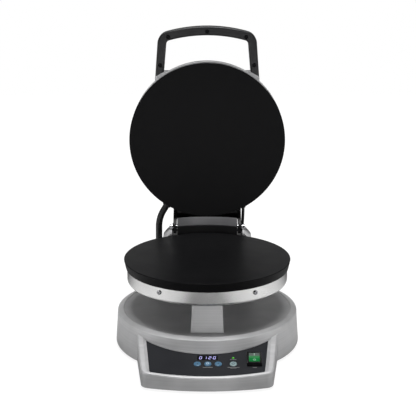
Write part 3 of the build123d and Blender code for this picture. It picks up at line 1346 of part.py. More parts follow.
def lid_cover():
    """Cast cover of the upper head, with ribs, screw bosses, hinge pad and handle ears."""
    outside = revolve(Plane.XZ * cover_profile(0), Axis.Z)
    inside = revolve(Plane.XZ * cover_profile(COVER_WALL), Axis.Z)
    cover = outside + both_sides(ear()) - inside
    cover -= disc(COVER_RADIUS - COVER_WALL, PLATE_THICK - OVERRUN, PLATE_THICK + OVERRUN)
    rib_low = INSULATION_FACE + INSULATION_THICK
    rib = disc(COVER_RIB_RADIUS + COVER_RIB_WIDTH / 2, rib_low, COVER_CENTRE_DEPTH)
    rib -= disc(COVER_RIB_RADIUS - COVER_RIB_WIDTH / 2, 0, COVER_CENTRE_DEPTH)
    half = SADDLE_WIDTH / 2 - COVER_WALL
    pad_face = COVER_RADIUS - COVER_WALL - SADDLE_PAD
    pad = block((-half, half), (pad_face, COVER_RADIUS + OVERRUN), (rib_low / 2, COVER_CENTRE_DEPTH))
    cover += (rib & outside) + (pad & outside)
    for x, y in axial_places():
        seat = PLATE_THICK + COVER_SCREW_GRIP
        cover += disc(COVER_BOSS_RADIUS, PLATE_THICK, COVER_CENTRE_DEPTH, x, y) & outside
        cover -= disc(M5[1] / 2 + SCREW_CLEARANCE, seat, COVER_CENTRE_DEPTH + OVERRUN, x, y)
        cover -= clearance_hole(M5, PLATE_THICK - OVERRUN, seat + OVERRUN, x, y)
    groove = disc(COVER_RADIUS + OVERRUN, PLATE_THICK + COVER_GROOVE_PLACE,
                  PLATE_THICK + COVER_GROOVE_PLACE + COVER_GROOVE_WIDTH)
    groove -= disc(COVER_RADIUS - COVER_GROOVE_DEPTH, 0, COVER_CENTRE_DEPTH)
    reach = EAR_ROOT_REACH + COVER_WALL
    cover -= groove - block((-COVER_RADIUS, COVER_RADIUS), (-COVER_RADIUS - OVERRUN, -reach), (0, COVER_RISE))
    for x, seat in zip(SADDLE_SCREW_PLACES, saddle_screw_seats()):
        cover -= seat * tapped_hole(M5, -saddle_screw_length(x) - OVERRUN, 0)
    cover -= conduit_rim_seat() * disc(CONDUIT_DIA / 2, -COVER_WALL - OVERRUN, OVERRUN)
    return cover - lead_rim_seat() * disc(LEAD_DIA / 2, -COVER_WALL - 2 * OVERRUN, OVERRUN)


def cover_screws():
    seat = PLATE_THICK + COVER_SCREW_GRIP
    return [Pos(x, y, seat) * screw(M5, COVER_SCREW_LENGTH) for x, y in axial_places()]


# Handle, drawn in the lid's frame
def half_width(top_width, foot_width, reach):
    """Half of the handle's width at a reach, on the line through two known widths."""
    share = (reach - HANDLE_FOOT_PLACE) / (HANDLE_TOP_PLACE - HANDLE_FOOT_PLACE)
    return (foot_width + (top_width - foot_width) * share) / 2


def bowed_outline(radius, top_width, foot_width):
    """Area under a bowed top and between two leaning sides, down to the cover's middle."""
    far = HANDLE_REACH + OVERRUN
    top, root = half_width(top_width, foot_width, far), half_width(top_width, foot_width, 0)
    sides = make_face(Polyline((-top, -far), (top, -far), (root, 0), (-root, 0), close=True))
    return Pos(0, HANDLE_CROWN_RADIUS - HANDLE_REACH) * Circle(radius) & sides


def handle_outline():
    """Bowed bar with two legs that stand on the ears' seats."""
    outer = bowed_outline(HANDLE_CROWN_RADIUS, HANDLE_TOP_WIDTH, HANDLE_FOOT_WIDTH)
    inner = bowed_outline(
        HANDLE_CROWN_RADIUS - HANDLE_BAR, HANDLE_INNER_TOP_WIDTH, HANDLE_INNER_FOOT_WIDTH)
    outer = fillet(outer.vertices().group_by(Axis.Y)[0], HANDLE_CORNER_RADIUS)
    inner = fillet(inner.vertices().group_by(Axis.Y)[0], HANDLE_INNER_RADIUS)
    return outer - inner - ear_side()


def ear_side():
    """Everything on the cover's side of the two seats that the handle stands on."""
    lean = tan(radians(EAR_SEAT_ANGLE))
    far = EAR_HALF_WIDTH + HANDLE_BAR
    return make_face(Polyline(
        (-far, -EAR_SEAT_REACH + lean * HANDLE_BAR),
        (0, -EAR_SEAT_REACH - lean * EAR_HALF_WIDTH),
        (far, -EAR_SEAT_REACH + lean * HANDLE_BAR),
        (far, HANDLE_CROWN_RADIUS),
        (-far, HANDLE_CROWN_RADIUS),
        close=True))


def handle_half(front):
    """One moulding of the handle, its long edges bevelled, with screw wells or pilot holes."""
    split_height = HANDLE_FRONT_FACE + HANDLE_THICK / 2
    low, high = HANDLE_FRONT_FACE, HANDLE_FRONT_FACE + HANDLE_THICK
    bottom = low if front else split_height
    body = Pos(0, 0, bottom) * extrude(handle_outline(), HANDLE_THICK / 2)
    skin = body.edges().group_by(Axis.Z)[0 if front else -1]
    body = fillet(skin.filter_by(lambda e: e.center().Y < -EAR_SEAT_REACH - HANDLE_BAR), HANDLE_BEVEL)
    for x, reach in HANDLE_SCREW_POINTS:
        if front:
            body -= disc(M4[1] / 2 + SCREW_CLEARANCE, low - OVERRUN, low + HANDLE_SCREW_RECESS, x, -reach)
            body -= clearance_hole(M4, low, split_height + OVERRUN, x, -reach)
        else:
            body -= tapped_hole(M4, split_height - OVERRUN, high - HANDLE_SCREW_END, x, -reach)
    half, y = TONGUE_WIDTH / 2 + SLIP, -HANDLE_SCREW_POINTS[-1][1]
    x = HANDLE_SCREW_POINTS[-1][0]
    thick = TONGUE_THICK / 2 + SLIP
    pocket = block((x - half, x + half), (y - half, y - half + TONGUE_LENGTH + OVERRUN),
                   (split_height - thick, split_height + thick))
    for item in both_sides(pocket):
        body -= item
    return body


def handle_screws():
    seat = HANDLE_FRONT_FACE + HANDLE_SCREW_RECESS
    length = HANDLE_THICK - HANDLE_SCREW_RECESS - HANDLE_SCREW_END - EDGE_SOFTENING
    fixing = Rot(180, 0, 0) * screw(M4, length)
    return [Pos(x, -reach, seat) * fixing for x, reach in HANDLE_SCREW_POINTS]


# Conduit and lead, from the base to the lid
def gland(diameter, bore, length, collar):
    """Cable gland: a round body with a wider hexagonal nut at its foot."""
    nut = extrude(RegularPolygon(diameter / 2, 6, rotation=30), collar)
    body = nut + Cone(diameter / 2 - EDGE_SOFTENING, bore / 2 + OVERRUN, length,
                      align=(Align.CENTER, Align.CENTER, Align.MIN))
    return body - disc(bore / 2 + SLIP, -GLAND_INSET - OVERRUN, length + OVERRUN)


def conduit_rim_seat():
    """Point on the cover's rim where the conduit enters, looking out along the radius."""
    angle = degrees(atan2(sqrt(COVER_RADIUS ** 2 - CONDUIT_RIM_PLACE ** 2), -CONDUIT_RIM_PLACE))
    return Rot(0, 0, angle) * Pos(COVER_RADIUS, 0, CONDUIT_SETBACK) * Rot(0, 90, 0)


def lead_rim_seat():
    y = sqrt(COVER_RADIUS ** 2 - LEAD_RIM_PLACE ** 2)
    return Pos(LEAD_RIM_PLACE, y, LEAD_SETBACK) * Rot(-90, 0, 0)


def base_glands():
    big = gland(CONDUIT_GLAND_DIA, CONDUIT_DIA, CONDUIT_GLAND_LENGTH, CONDUIT_GLAND_NUT)
    small = gland(LEAD_GLAND_DIA, LEAD_DIA, LEAD_GLAND_LENGTH, LEAD_GLAND_LENGTH / 2)
    return [Pos(*CONDUIT_PLACE, RIM_HEIGHT) * big, Pos(*LEAD_PLACE, RIM_HEIGHT) * small]


def lid_glands():
    """Glands cut to the curve of the cover's rim."""
    rim = disc(COVER_RADIUS, 0, COVER_CENTRE_DEPTH)
    inset = Pos(0, 0, -LEAD_GLAND_LENGTH / 2)
    big = gland(CONDUIT_GLAND_DIA, CONDUIT_DIA, CONDUIT_RIM_GLAND_LENGTH, CONDUIT_GLAND_NUT)
    small = inset * gland(LEAD_GLAND_DIA, LEAD_DIA, 3 * LEAD_GLAND_LENGTH / 2, LEAD_GLAND_LENGTH)
    return [conduit_rim_seat() * big - rim, lead_rim_seat() * small - rim]


def tube(points, radii, diameter):
    path = FilletPolyline(*points, radius=radii)
    pipe = sweep(Plane(path @ 0, z_dir=path % 0) * Circle(diameter / 2), path)
    expected = path.length * pi * diameter ** 2 / 4
    print(f"tube of {diameter} mm: length {path.length:.1f}, radii {radii}, "
          f"volume over section times length {pipe.volume / expected:.4f}")
    return pipe


def conduit():
    """Thick conduit at the left, which carries the upper element's supply."""
    exit_seat = OPENED * conduit_rim_seat()
    mouth = (exit_seat * Pos(0, 0, GLAND_INSET)).position
    outward = (exit_seat * Pos(0, 0, 1)).position - exit_seat.position
    x, y = CONDUIT_PLACE
    corner = mouth + outward * ((mouth.X - x) / -outward.X)
    start = Vector(x, y, RIM_HEIGHT + GLAND_INSET)
    lower = start + Vector(0, 0, CONDUIT_RISE)
    return tube([start, lower, corner, mouth], list(CONDUIT_BEND_RADII), CONDUIT_DIA)


def lead():
    """Thin lead at the right, which carries the upper probe's signal."""
    mouth = (OPENED * lead_rim_seat() * Pos(0, 0, GLAND_INSET)).position
    x, y = LEAD_PLACE
    start = Vector(x, y, RIM_HEIGHT + GLAND_INSET)
    bend = Vector(x, y, HINGE_HEIGHT - LEAD_BEND_DROP)
    corner = mouth - Vector(0, 0, LEAD_DROP)
    return tube([start, bend, corner, mouth], [LEAD_BEND_RADIUS, LEAD_BEND_RADIUS], LEAD_DIA)


def lead_clip():
    """Band that holds the lead against the rear of the tower."""
    x, y = LEAD_PLACE
    outer = LEAD_DIA / 2 + SLIP + LEAD_CLIP_WALL
    low = TOWER_HEIGHT - LEAD_CLIP_DROP
    high = low + LEAD_CLIP_WIDTH
    clip = disc(outer, low, high, x, y)
    clip += block((x - 2 * outer, x + outer), (TOWER_REAR, TOWER_REAR + LEAD_CLIP_WALL), (low, high))
    clip += block((x - outer, x + outer), (TOWER_REAR, y), (low, high))
    return clip - disc(LEAD_DIA / 2 + SLIP, low - OVERRUN, high + OVERRUN, x, y)


def lid_pieces():
    arm = hinge_arm()
    return {
        "upper_plate": upper_plate(),
        "upper_element": element(),
        "upper_insulation": insulation(axial_places()),
        "upper_probe": probe(),
        "upper_cutout": cutout(),
        "lid_cover": lid_cover(),
        "cover_screws": cover_screws(),
        "hinge_arm_left": mirror(arm, Plane.YZ),
        "hinge_arm_right": arm,
        "arm_screws": arm_screws(),
        "hinge_saddle": hinge_saddle(),
        "saddle_screws": saddle_screws(),
        "handle_front": handle_half(True),
        "handle_back": handle_half(False),
        "handle_screws": handle_screws(),
        "lid_glands": lid_glands(),
    }


def base_pieces():
    keys = [in_panel(key(), place) for place in key_places()]
    return {
        "base_casting": base_casting(),
        "bottom_plate": bottom_plate(),
        "bottom_plate_screws": bottom_plate_screws(),
        "rubber_feet": rubber_feet(),
        "foot_screws": foot_screws(),
        "control_fascia": control_fascia(),
        "display_window": display_window(),
        "display_module": display_module(),
        "control_board": control_board(),
        "key_switches": key_switches(),
        "board_screws": board_screws(),
        "key_down": keys[0],
        "key_timer": keys[1],
        "key_up": keys[2],
        "key_start": keys[3],
        "indicator_lamp": indicator_lamp(),
        "rocker_housing": rocker_housing(),
        "rocker": rocker(),
        "power_board": power_board(),
        "board_spacers": board_spacers(),
        "power_relays": power_relays(),
        "power_transformer": power_transformer(),
        "buzzer": buzzer(),
        "terminal_block": terminal_block(),
        "cord_gland": cord_gland(),
        "pedestal": pedestal(),
        "casting_screws": casting_screws(),
        "rear_tower": rear_tower(),
        "hinge_block": hinge_block(),
        "hinge_guard": hinge_guard(),
        "hinge_pin": hinge_pin(),
        "pin_clips": pin_clips(),
        "stop_rod": stop_rod(),
        "lower_plate": lower_head(lower_plate()),
        "lower_element": lower_head(element()),
        "lower_insulation": lower_head(insulation([(x, -y) for x, y in pedestal_points()])),
        "lower_probe": lower_head(probe()),
        "lower_cutout": lower_head(cutout()),
        "lower_housing": lower_housing(),
        "housing_screws": housing_screws(),
        "base_glands": base_glands(),
        "conduit": conduit(),
        "lead": lead(),
        "lead_clip": lead_clip(),
    }


def main():
    os.makedirs("parts", exist_ok=True)
    pieces = base_pieces()
    for name, shape in lid_pieces().items():
        pieces[name] = [OPENED * item for item in shape] if isinstance(shape, list) else OPENED * shape
    for name, shape in pieces.items():
        solids = shape if isinstance(shape, list) else [shape]
        placed = [SEATED * solid for item in solids for solid in item.solids()]
        whole = placed[0] if len(placed) == 1 else Compound(children=placed)
        export_step(whole, f"parts/{name}.step")
    pivot = (PANEL * Pos(*ROCKER_PLACE, ROCKER_PIVOT_HEIGHT)).position
    print("hinge axis", HINGE_BACK - ORIGIN_BACK, HINGE_HEIGHT + FOOT_LIFT)
    print("rocker pivot", pivot.X, pivot.Y - ORIGIN_BACK, pivot.Z + FOOT_LIFT)
    print("panel normal", PANEL.z_dir)


if __name__ == "__main__":
    main()
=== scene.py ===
"""Crepe maker: finishes, small pieces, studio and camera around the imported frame.

Places are in the frame's own axes: X to the right, Y to the back, Z up from the surface that the
feet stand on. Sizes of the object are written in millimetres and turned into metres by MM. The
studio's own distances are in metres where no unit is named.
"""
from __future__ import annotations

import logging
import math
from collections.abc import Callable
from dataclasses import dataclass
from enum import Enum

import bpy
from mathutils import Matrix, Vector


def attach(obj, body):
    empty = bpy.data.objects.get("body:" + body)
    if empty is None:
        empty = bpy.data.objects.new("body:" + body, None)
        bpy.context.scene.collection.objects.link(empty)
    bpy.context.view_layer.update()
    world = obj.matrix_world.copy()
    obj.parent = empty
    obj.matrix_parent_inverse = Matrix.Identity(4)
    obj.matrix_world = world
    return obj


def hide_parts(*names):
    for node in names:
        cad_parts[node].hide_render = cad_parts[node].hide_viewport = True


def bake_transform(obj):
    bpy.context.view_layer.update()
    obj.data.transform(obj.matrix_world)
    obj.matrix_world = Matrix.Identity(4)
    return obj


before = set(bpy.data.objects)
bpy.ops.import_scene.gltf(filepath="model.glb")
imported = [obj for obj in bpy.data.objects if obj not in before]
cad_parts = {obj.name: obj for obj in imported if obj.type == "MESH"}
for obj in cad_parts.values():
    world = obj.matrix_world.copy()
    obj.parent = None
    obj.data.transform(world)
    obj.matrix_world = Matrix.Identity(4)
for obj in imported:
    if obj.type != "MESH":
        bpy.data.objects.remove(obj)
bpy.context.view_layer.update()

MM = 0.001
LOG = logging.getLogger("crepe_maker")

Pair = tuple[float, float]
Triple = tuple[float, float, float]
Piece = bpy.types.Object
Tree = bpy.types.NodeTree
Socket = bpy.types.NodeSocket

# Share of a face's normal along an axis from which the face looks that way, and below which it
# stands edge on to it.
FACING, EDGE_ON = 0.9, 0.1
# Points closer than this, in millimetres, are one point of a modelled piece.
MERGE_MM = 0.002
# Edges of a modelled piece that turn by more than this stay sharp.
SHARP_DEG = 32.0
# Thickness of a printed or moulded mark, in millimetres: half of it stands proud.
MARK_THICK = 0.3
# Sides of a round mark, and how far corners are rounded: shares of a bar's width and of a
# triangle's side.
RING_SIDES, BAR_CORNER, TRIANGLE_CORNER = 48, 0.3, 0.12
# The sRGB curve: the divisor of its straight foot and where that ends, then offset and power.
SRGB_FOOT, SRGB_KNEE, SRGB_OFFSET, SRGB_POWER = 12.92, 0.04045, 0.055, 2.4


def linear(hex_colour: str) -> tuple[float, float, float, float]:
    """Turn an sRGB hex colour into the linear colour that a shader socket takes.

    Args:
        hex_colour: six hex digits after a hash sign.

    Returns:
        Red, green, blue and an alpha of one.
    """
    channels = [int(hex_colour[i:i + 2], 16) / 255 for i in (1, 3, 5)]
    curve = [c / SRGB_FOOT if c <= SRGB_KNEE
             else ((c + SRGB_OFFSET) / (1 + SRGB_OFFSET)) ** SRGB_POWER for c in channels]
    return curve[0], curve[1], curve[2], 1.0


def empty_tree(owner: bpy.types.Material | bpy.types.World) -> Tree:
    """Give a material or a world a node tree with nothing in it.

    Args:
        owner: the material or the world.

    Returns:
        Its node tree.
    """
    owner.use_nodes = True
    owner.node_tree.nodes.clear()
    return owner.node_tree


def add_node(tree: Tree, kind: str, settings: dict[str, object] | None = None,
             inputs: dict[str | int, object] | None = None) -> bpy.types.Node:
    """Add a node with its settings, its constant inputs and its links.

    Args:
        tree: the node tree to add to.
        kind: Blender's type name of the node, without the ShaderNode that they all begin with.
        settings: attributes of the node.
        inputs: by socket name or number, a constant or the output socket to link from.

    Returns:
        The new node.
    """
    node = tree.nodes.new("ShaderNode" + kind)
    for name, value in (settings or {}).items():
        setattr(node, name, value)
    for name, value in (inputs or {}).items():
        if isinstance(value, Socket):
            tree.links.new(value, node.inputs[name])
        else:
            node.inputs[name].default_value = value
    return node


def add_object(name: str, data: bpy.types.ID) -> Piece:
    """Put a new object in the scene.

    Args:
        name: its name.
        data: its mesh, curve, light or camera.

    Returns:
        The new object.
    """
    made = bpy.data.objects.new(name, data)
    bpy.context.scene.collection.objects.link(made)
    return made


class Lay(Enum):
    """Direction in which a metal was brushed, as the scale of its grain along X, Y and Z."""

    ROUND_Z = (0.004, 0.004, 1.0)
    NONE = (1.0, 1.0, 1.0)


@dataclass(frozen=True)
class PaintedSheen:
    """A painted sheen: a second tone that takes over along an axis, between two places on it,
    painted where light falls flat on a part.
    """

    tone: str
    axis: Triple
    first_mm: float
    last_mm: float


# Fineness of the two noises: grain for touch and streaks, mottle for broad, faint clouds.
GRAIN_DETAIL, GRAIN_ROUGHNESS, MOTTLE_DETAIL = 3.0, 0.6, 2.0
# How much of the grain joins the mottle, and the spans of that sum over which the first colour
# turns to the second and the sleek places turn to the dull ones.
GRAIN_SHARE = 0.6
COLOUR_SPAN: Pair = (0.55, 1.05)
GLOSS_SPAN: Pair = (0.4, 1.2)
# How far the roughness goes below and above its middle value, and how low it may get.
GLOSS_DROP, GLOSS_RISE, GLOSS_LEAST = 0.05, 0.06, 0.02
BUMP_STRENGTH = 0.6


@dataclass(frozen=True)
class Finish:
    """A surface as it was made: its colour, its gloss and the grain that the eye catches.

    Grain and mottle are the sizes of their spots and height is how deep the grain is, all in
    millimetres. Metals keep the default IOR.
    """

    name: str
    colour: str
    second: str
    roughness: float
    metallic: float = 0.0
    grain_mm: float = 1.0
    height_mm: float = 0.01
    mottle_mm: float = 40.0
    lay: Lay = Lay.NONE
    coat: float = 0.0
    glow: str | None = None
    glow_strength: float = 0.0
    specular: float = 0.5
    ior: float = 1.5
    painted_sheen: PaintedSheen | None = None

    def material(self) -> bpy.types.Material:
        """Make the material once and return it after that."""
        found = bpy.data.materials.get(self.name)
        return found if found else self.build()

    def build(self) -> bpy.types.Material:
        """Build the node tree: grain for bump, grain and mottle for colour and gloss.

        Returns:
            The finished material.
        """
        material = bpy.data.materials.new(self.name)
        tree = empty_tree(material)
        place = add_node(tree, "TexCoord").outputs["Object"]
        stretch = add_node(tree, "Mapping", inputs={"Vector": place, "Scale": self.lay.value})
        grain = add_node(tree, "TexNoise", inputs={
            "Vector": stretch.outputs["Vector"], "Scale": 1 / (self.grain_mm * MM),
            "Detail": GRAIN_DETAIL, "Roughness": GRAIN_ROUGHNESS})
        mottle = add_node(tree, "TexNoise", inputs={
            "Vector": place, "Scale": 1 / (self.mottle_mm * MM), "Detail": MOTTLE_DETAIL})
        blend = add_node(tree, "Math", {"operation": "MULTIPLY_ADD"}, {
            0: grain.outputs["Fac"], 1: GRAIN_SHARE, 2: mottle.outputs["Fac"]})
        gloss = add_node(tree, "MapRange", inputs={
            "Value": blend.outputs[0], "From Min": GLOSS_SPAN[0], "From Max": GLOSS_SPAN[1],
            "To Min": max(self.roughness - GLOSS_DROP, GLOSS_LEAST),
            "To Max": self.roughness + GLOSS_RISE})
        bump = add_node(tree, "Bump", inputs={
            "Height": grain.outputs["Fac"], "Strength": BUMP_STRENGTH,
            "Distance": self.height_mm * MM})
        shader = add_node(tree, "BsdfPrincipled", inputs={
            "Base Color": self.tint(tree, place, blend.outputs[0]),
            "Roughness": gloss.outputs["Result"], "Normal": bump.outputs["Normal"],
            "Metallic": self.metallic, "Coat Weight": self.coat,
            "Specular IOR Level": self.specular, "IOR": self.ior})
        if self.glow:
            shader.inputs["Emission Color"].default_value = linear(self.glow)
            shader.inputs["Emission Strength"].default_value = self.glow_strength
        add_node(tree, "OutputMaterial", inputs={"Surface": shader.outputs["BSDF"]})
        return material

    def tint(self, tree: Tree, place: Socket, blend: Socket) -> Socket:
        """Mix the two colours by grain and mottle, and let the painted sheen's tone take over.

        Args:
            tree: the node tree to add to.
            place: gives a point's place on the piece.
            blend: the sum of grain and mottle.

        Returns:
            The socket that gives the colour.
        """
        share = add_node(tree, "MapRange", inputs={
            "Value": blend, "From Min": COLOUR_SPAN[0], "From Max": COLOUR_SPAN[1]})
        colour = add_node(tree, "Mix", {"data_type": "RGBA"}, {
            "Factor": share.outputs["Result"], "A": linear(self.colour), "B": linear(self.second)})
        # Painted sheen: a greyer tone painted along an axis where light falls flat on the part.
        if self.painted_sheen:
            along = add_node(tree, "VectorMath", {"operation": "DOT_PRODUCT"}, {
                0: place, 1: self.painted_sheen.axis})
            turn = add_node(tree, "MapRange", {"interpolation_type": "SMOOTHSTEP"}, {
                "Value": along.outputs["Value"], "From Min": self.painted_sheen.first_mm * MM,
                "From Max": self.painted_sheen.last_mm * MM})
            colour = add_node(tree, "Mix", {"data_type": "RGBA"}, {
                "Factor": turn.outputs["Result"], "A": colour.outputs["Result"],
                "B": linear(self.painted_sheen.tone)})
        return colour.outputs["Result"]

    def dress(self, piece: Piece) -> None:
        """Give the piece this finish all over."""
        piece.data.materials.clear()
        piece.data.materials.append(self.material())


@dataclass(frozen=True)
class Lamp:
    """A soft box: where it hangs, what it looks at, its width and height, and its watts."""

    name: str
    place: Triple
    target: Triple
    size: Pair
    power: float

    def build(self) -> Piece:
        """Hang the lamp and turn its face to the target.

        Returns:
            The lamp's object.
        """
        light = bpy.data.lights.new(self.name, "AREA")
        light.shape = "RECTANGLE"
        light.size, light.size_y = self.size
        light.energy = self.power
        lamp = add_object(self.name, light)
        lamp.location = self.place
        aim = Vector(self.target) - Vector(self.place)
        lamp.rotation_euler = aim.to_track_quat("-Z", "Y").to_euler()
        return lamp


# A wide box overhead, a low strip in front for the upright faces, and one behind and at each side.
LAMPS = (
    Lamp("soft_box_top", (0.0, -0.05, 1.9), (0.0, 0.0, 0.1), (0.9, 0.5), 42.0),
    Lamp("soft_box_low", (0.0, -1.5, 0.11), (0.0, 0.0, 0.1), (1.3, 0.18), 6.0),
    Lamp("soft_box_rear", (0.0, 2.0, 0.35), (0.0, 0.2, 0.3), (1.6, 0.5), 3.2),
    Lamp("soft_box_left", (-1.6, -0.6, 0.28), (0.0, 0.0, 0.08), (0.6, 0.5), 7.5),
    Lamp("soft_box_right", (1.6, -0.6, 0.28), (0.0, 0.0, 0.08), (0.6, 0.5), 7.5),
)


@dataclass(frozen=True)
class Studio:
    """Plain white studio: floor, surroundings, lamps and the camera of the product picture.

    Floor and surroundings are white to the camera. To the lamps, and to what mirrors it, the floor
    is grey card: darker in front, pale at the sides and dark behind. Greys are shares of white, and
    each span says where one grey turns to the next.
    """

    camera_mm: Triple = (0.0, -1752.45, 725.0)
    pitch_deg: float = 15.068
    lens_mm: float = 86.69
    sensor_mm: float = 36.0
    shift_x: float = 0.0019
    clip_end: float = 20.0
    floor_mm: float = 6000.0
    card_front: float = 0.22
    card_side: float = 0.85
    card_back: float = 0.12
    card_side_span: Pair = (0.14, 0.3)
    card_back_span: Pair = (0.05, 0.4)
    paper_grey: float = 0.85
    paper_glow: float = 1.1
    glow_near: float = 0.82
    glow_span: Pair = (0.3, 0.9)
    sky_low: float = 0.025
    sky_side: float = 0.14
    sky_behind: float = 0.13
    sky_side_span: Pair = (0.2, 0.9)
    lamps: tuple[Lamp, ...] = LAMPS

    def build(self) -> None:
        """Make the floor, the surroundings, the lamps and the camera."""
        self.make_floor()
        self.make_world()
        for lamp in self.lamps:
            lamp.build()
        self.make_camera()
        bpy.context.scene.view_settings.view_transform = "Standard"
        LOG.info("studio ready with %d lamps", len(self.lamps))

    def make_floor(self) -> None:
        """Lay the floor that the machine stands on."""
        bpy.ops.object.select_all(action="DESELECT")
        bpy.ops.mesh.primitive_plane_add(size=self.floor_mm * MM)
        floor = bpy.context.object
        floor.name = "studio_floor"
        floor.data.materials.append(self.floor_paper())

    @staticmethod
    def seen(tree: Tree) -> Socket:
        """Tell the camera's rays, straight or through a clear thing, from all others.

        Args:
            tree: the node tree to add to.

        Returns:
            The socket that gives one for them and zero for the rest.
        """
        rays = add_node(tree, "LightPath")
        either = add_node(tree, "Math", {"operation": "MAXIMUM"}, {
            0: rays.outputs["Is Camera Ray"], 1: rays.outputs["Is Transmission Ray"]})
        return either.outputs[0]

    def floor_paper(self) -> bpy.types.Material:
        """White paper that keeps a soft shadow near the machine, and is grey card to the lamps.

        Returns:
            The floor's material.
        """
        material = bpy.data.materials.new("studio_white")
        tree = empty_tree(material)
        place = add_node(tree, "TexCoord").outputs["Object"]
        parts = add_node(tree, "SeparateXYZ", inputs={"Vector": place})
        aside = add_node(tree, "Math", {"operation": "ABSOLUTE"}, {0: parts.outputs["X"]})
        card = add_node(tree, "MapRange", {"interpolation_type": "SMOOTHSTEP"}, {
            "Value": aside.outputs[0], "From Min": self.card_side_span[0],
            "From Max": self.card_side_span[1], "To Min": self.card_front,
            "To Max": self.card_side})
        back = add_node(tree, "MapRange", {"interpolation_type": "SMOOTHSTEP"}, {
            "Value": parts.outputs["Y"], "From Min": self.card_back_span[0],
            "From Max": self.card_back_span[1], "To Min": 1.0, "To Max": self.card_back})
        grey = add_node(tree, "Math", {"operation": "MULTIPLY"}, {
            0: card.outputs["Result"], 1: back.outputs["Result"]})
        seen = self.seen(tree)
        tone = add_node(tree, "Mix", {"data_type": "FLOAT"}, {
            "Factor": seen, "A": grey.outputs[0], "B": self.paper_grey})
        paper = add_node(tree, "BsdfDiffuse", inputs={"Color": tone.outputs["Result"]})
        white = add_node(tree, "Emission", inputs={
            "Color": linear("#ffffff"), "Strength": self.paper_glow})
        away = add_node(tree, "VectorMath", {"operation": "LENGTH"}, {0: place})
        shown = add_node(tree, "MapRange", inputs={
            "Value": away.outputs["Value"], "From Min": self.glow_span[0],
            "From Max": self.glow_span[1], "To Min": self.glow_near, "To Max": 1.0})
        part = add_node(tree, "Math", {"operation": "MULTIPLY"}, {
            0: seen, 1: shown.outputs["Result"]})
        mix = add_node(tree, "MixShader", inputs={
            0: part.outputs[0], 1: paper.outputs[0], 2: white.outputs[0]})
        add_node(tree, "OutputMaterial", inputs={"Surface": mix.outputs[0]})
        return material

    def make_world(self) -> None:
        """Surroundings: white to the camera, dim to the machine but for the sides and behind."""
        world = bpy.data.worlds.new("studio_surroundings")
        bpy.context.scene.world = world
        tree = empty_tree(world)
        direction = add_node(tree, "TexCoord").outputs["Generated"]
        parts = add_node(tree, "SeparateXYZ", inputs={"Vector": direction})
        side = add_node(tree, "Math", {"operation": "ABSOLUTE"}, {0: parts.outputs["X"]})
        pale = add_node(tree, "MapRange", {"interpolation_type": "SMOOTHSTEP"}, {
            "Value": side.outputs[0], "From Min": self.sky_side_span[0],
            "From Max": self.sky_side_span[1], "To Min": self.sky_low, "To Max": self.sky_side})
        behind = add_node(tree, "MapRange", inputs={
            "Value": parts.outputs["Y"], "From Min": 0.0, "From Max": 1.0,
            "To Min": 0.0, "To Max": self.sky_behind})
        level = add_node(tree, "Math", {"operation": "ADD"}, {
            0: pale.outputs["Result"], 1: behind.outputs["Result"]})
        strength = add_node(tree, "Mix", {"data_type": "FLOAT"}, {
            "Factor": self.seen(tree), "A": level.outputs[0], "B": 1.0})
        glow = add_node(tree, "Background", inputs={
            "Color": linear("#ffffff"), "Strength": strength.outputs["Result"]})
        add_node(tree, "OutputWorld", inputs={"Surface": glow.outputs[0]})

    def make_camera(self) -> None:
        """Camera in front and above, with the long lens of a product picture."""
        camera = bpy.data.cameras.new("product_camera")
        camera.lens = self.lens_mm
        camera.sensor_width = self.sensor_mm
        camera.shift_x = self.shift_x
        camera.clip_end = self.clip_end
        holder = add_object("product_camera", camera)
        holder.location = Vector(self.camera_mm) * MM
        holder.rotation_euler = (math.radians(90.0 - self.pitch_deg), 0.0, 0.0)
        bpy.context.scene.camera = holder


# Each comment says what the real material is and what the eye gets of it. Real brush marks, spray
# grain and etching are about 0.05 to 0.2 mm, too fine to show, so grain sizes below 1.6 mm are
# drawn as coarse as they need to be.

# Cast aluminium with silver paint, rubbed round: pale grey, a wide dull highlight, faint streaks.
SILVER = Finish("brushed_silver", "#9f9fa0", "#b7b7b8", 0.5, metallic=0.3, grain_mm=1.5,
                height_mm=0.005, mottle_mm=60.0, lay=Lay.ROUND_Z)
# Aluminium with sprayed and baked PTFE: near black and matt, with only a breath of light on it.
NON_STICK = Finish("ptfe_non_stick", "#0d0d0e", "#101011", 0.4, grain_mm=0.7, specular=0.065,
                   ior=1.38)
# Steel with baked epoxy powder: black, an even satin, the light orange peel of melted powder.
BLACK_PAINT = Finish("black_powder_coat", "#0b0b0c", "#101011", 0.5, grain_mm=0.8,
                     height_mm=0.02, specular=0.2)
# Stainless sheet spun to a band and brushed round: bright, mirrors floor and lamps, smeared round.
STAINLESS = Finish("brushed_stainless", "#c4c4c4", "#d0d0cf", 0.24, metallic=1.0, grain_mm=0.5,
                   height_mm=0.005, mottle_mm=60.0, lay=Lay.ROUND_Z)
# Steel sheet rolled to a curve, brushed and lacquered: darker and softer than the bare band.
GUARD_STEEL = Finish("brushed_guard", "#727274", "#868688", 0.42, metallic=0.6, grain_mm=0.5,
                     height_mm=0.006, mottle_mm=60.0, lay=Lay.ROUND_Z)
# Steel bar ground round: clean grey metal with a narrow bright line along it.
GROUND_STEEL = Finish("ground_steel", "#a2a2a4", "#b4b4b6", 0.25, metallic=1.0, grain_mm=0.4,
                      height_mm=0.003)
# Steel screws with bright zinc plate: pale, slightly warm grey with crisp highlights.
ZINC = Finish("zinc_plate", "#a8a8a4", "#bcbcb8", 0.3, metallic=1.0, grain_mm=0.6,
              height_mm=0.004)
# Steel screws and clips with black zinc: nearly black, a dull metal glint on the edges alone.
BLACK_ZINC = Finish("blackened_steel", "#161617", "#1e1e1f", 0.45, metallic=1.0, grain_mm=0.6,
                    height_mm=0.004)
# Nylon with glass fibre, moulded in an etched tool: charcoal black with a soft, broad highlight.
HANDLE_PLASTIC = Finish("glass_filled_nylon", "#1d1d1e", "#232324", 0.34, grain_mm=0.6,
                        specular=0.18, ior=1.53)
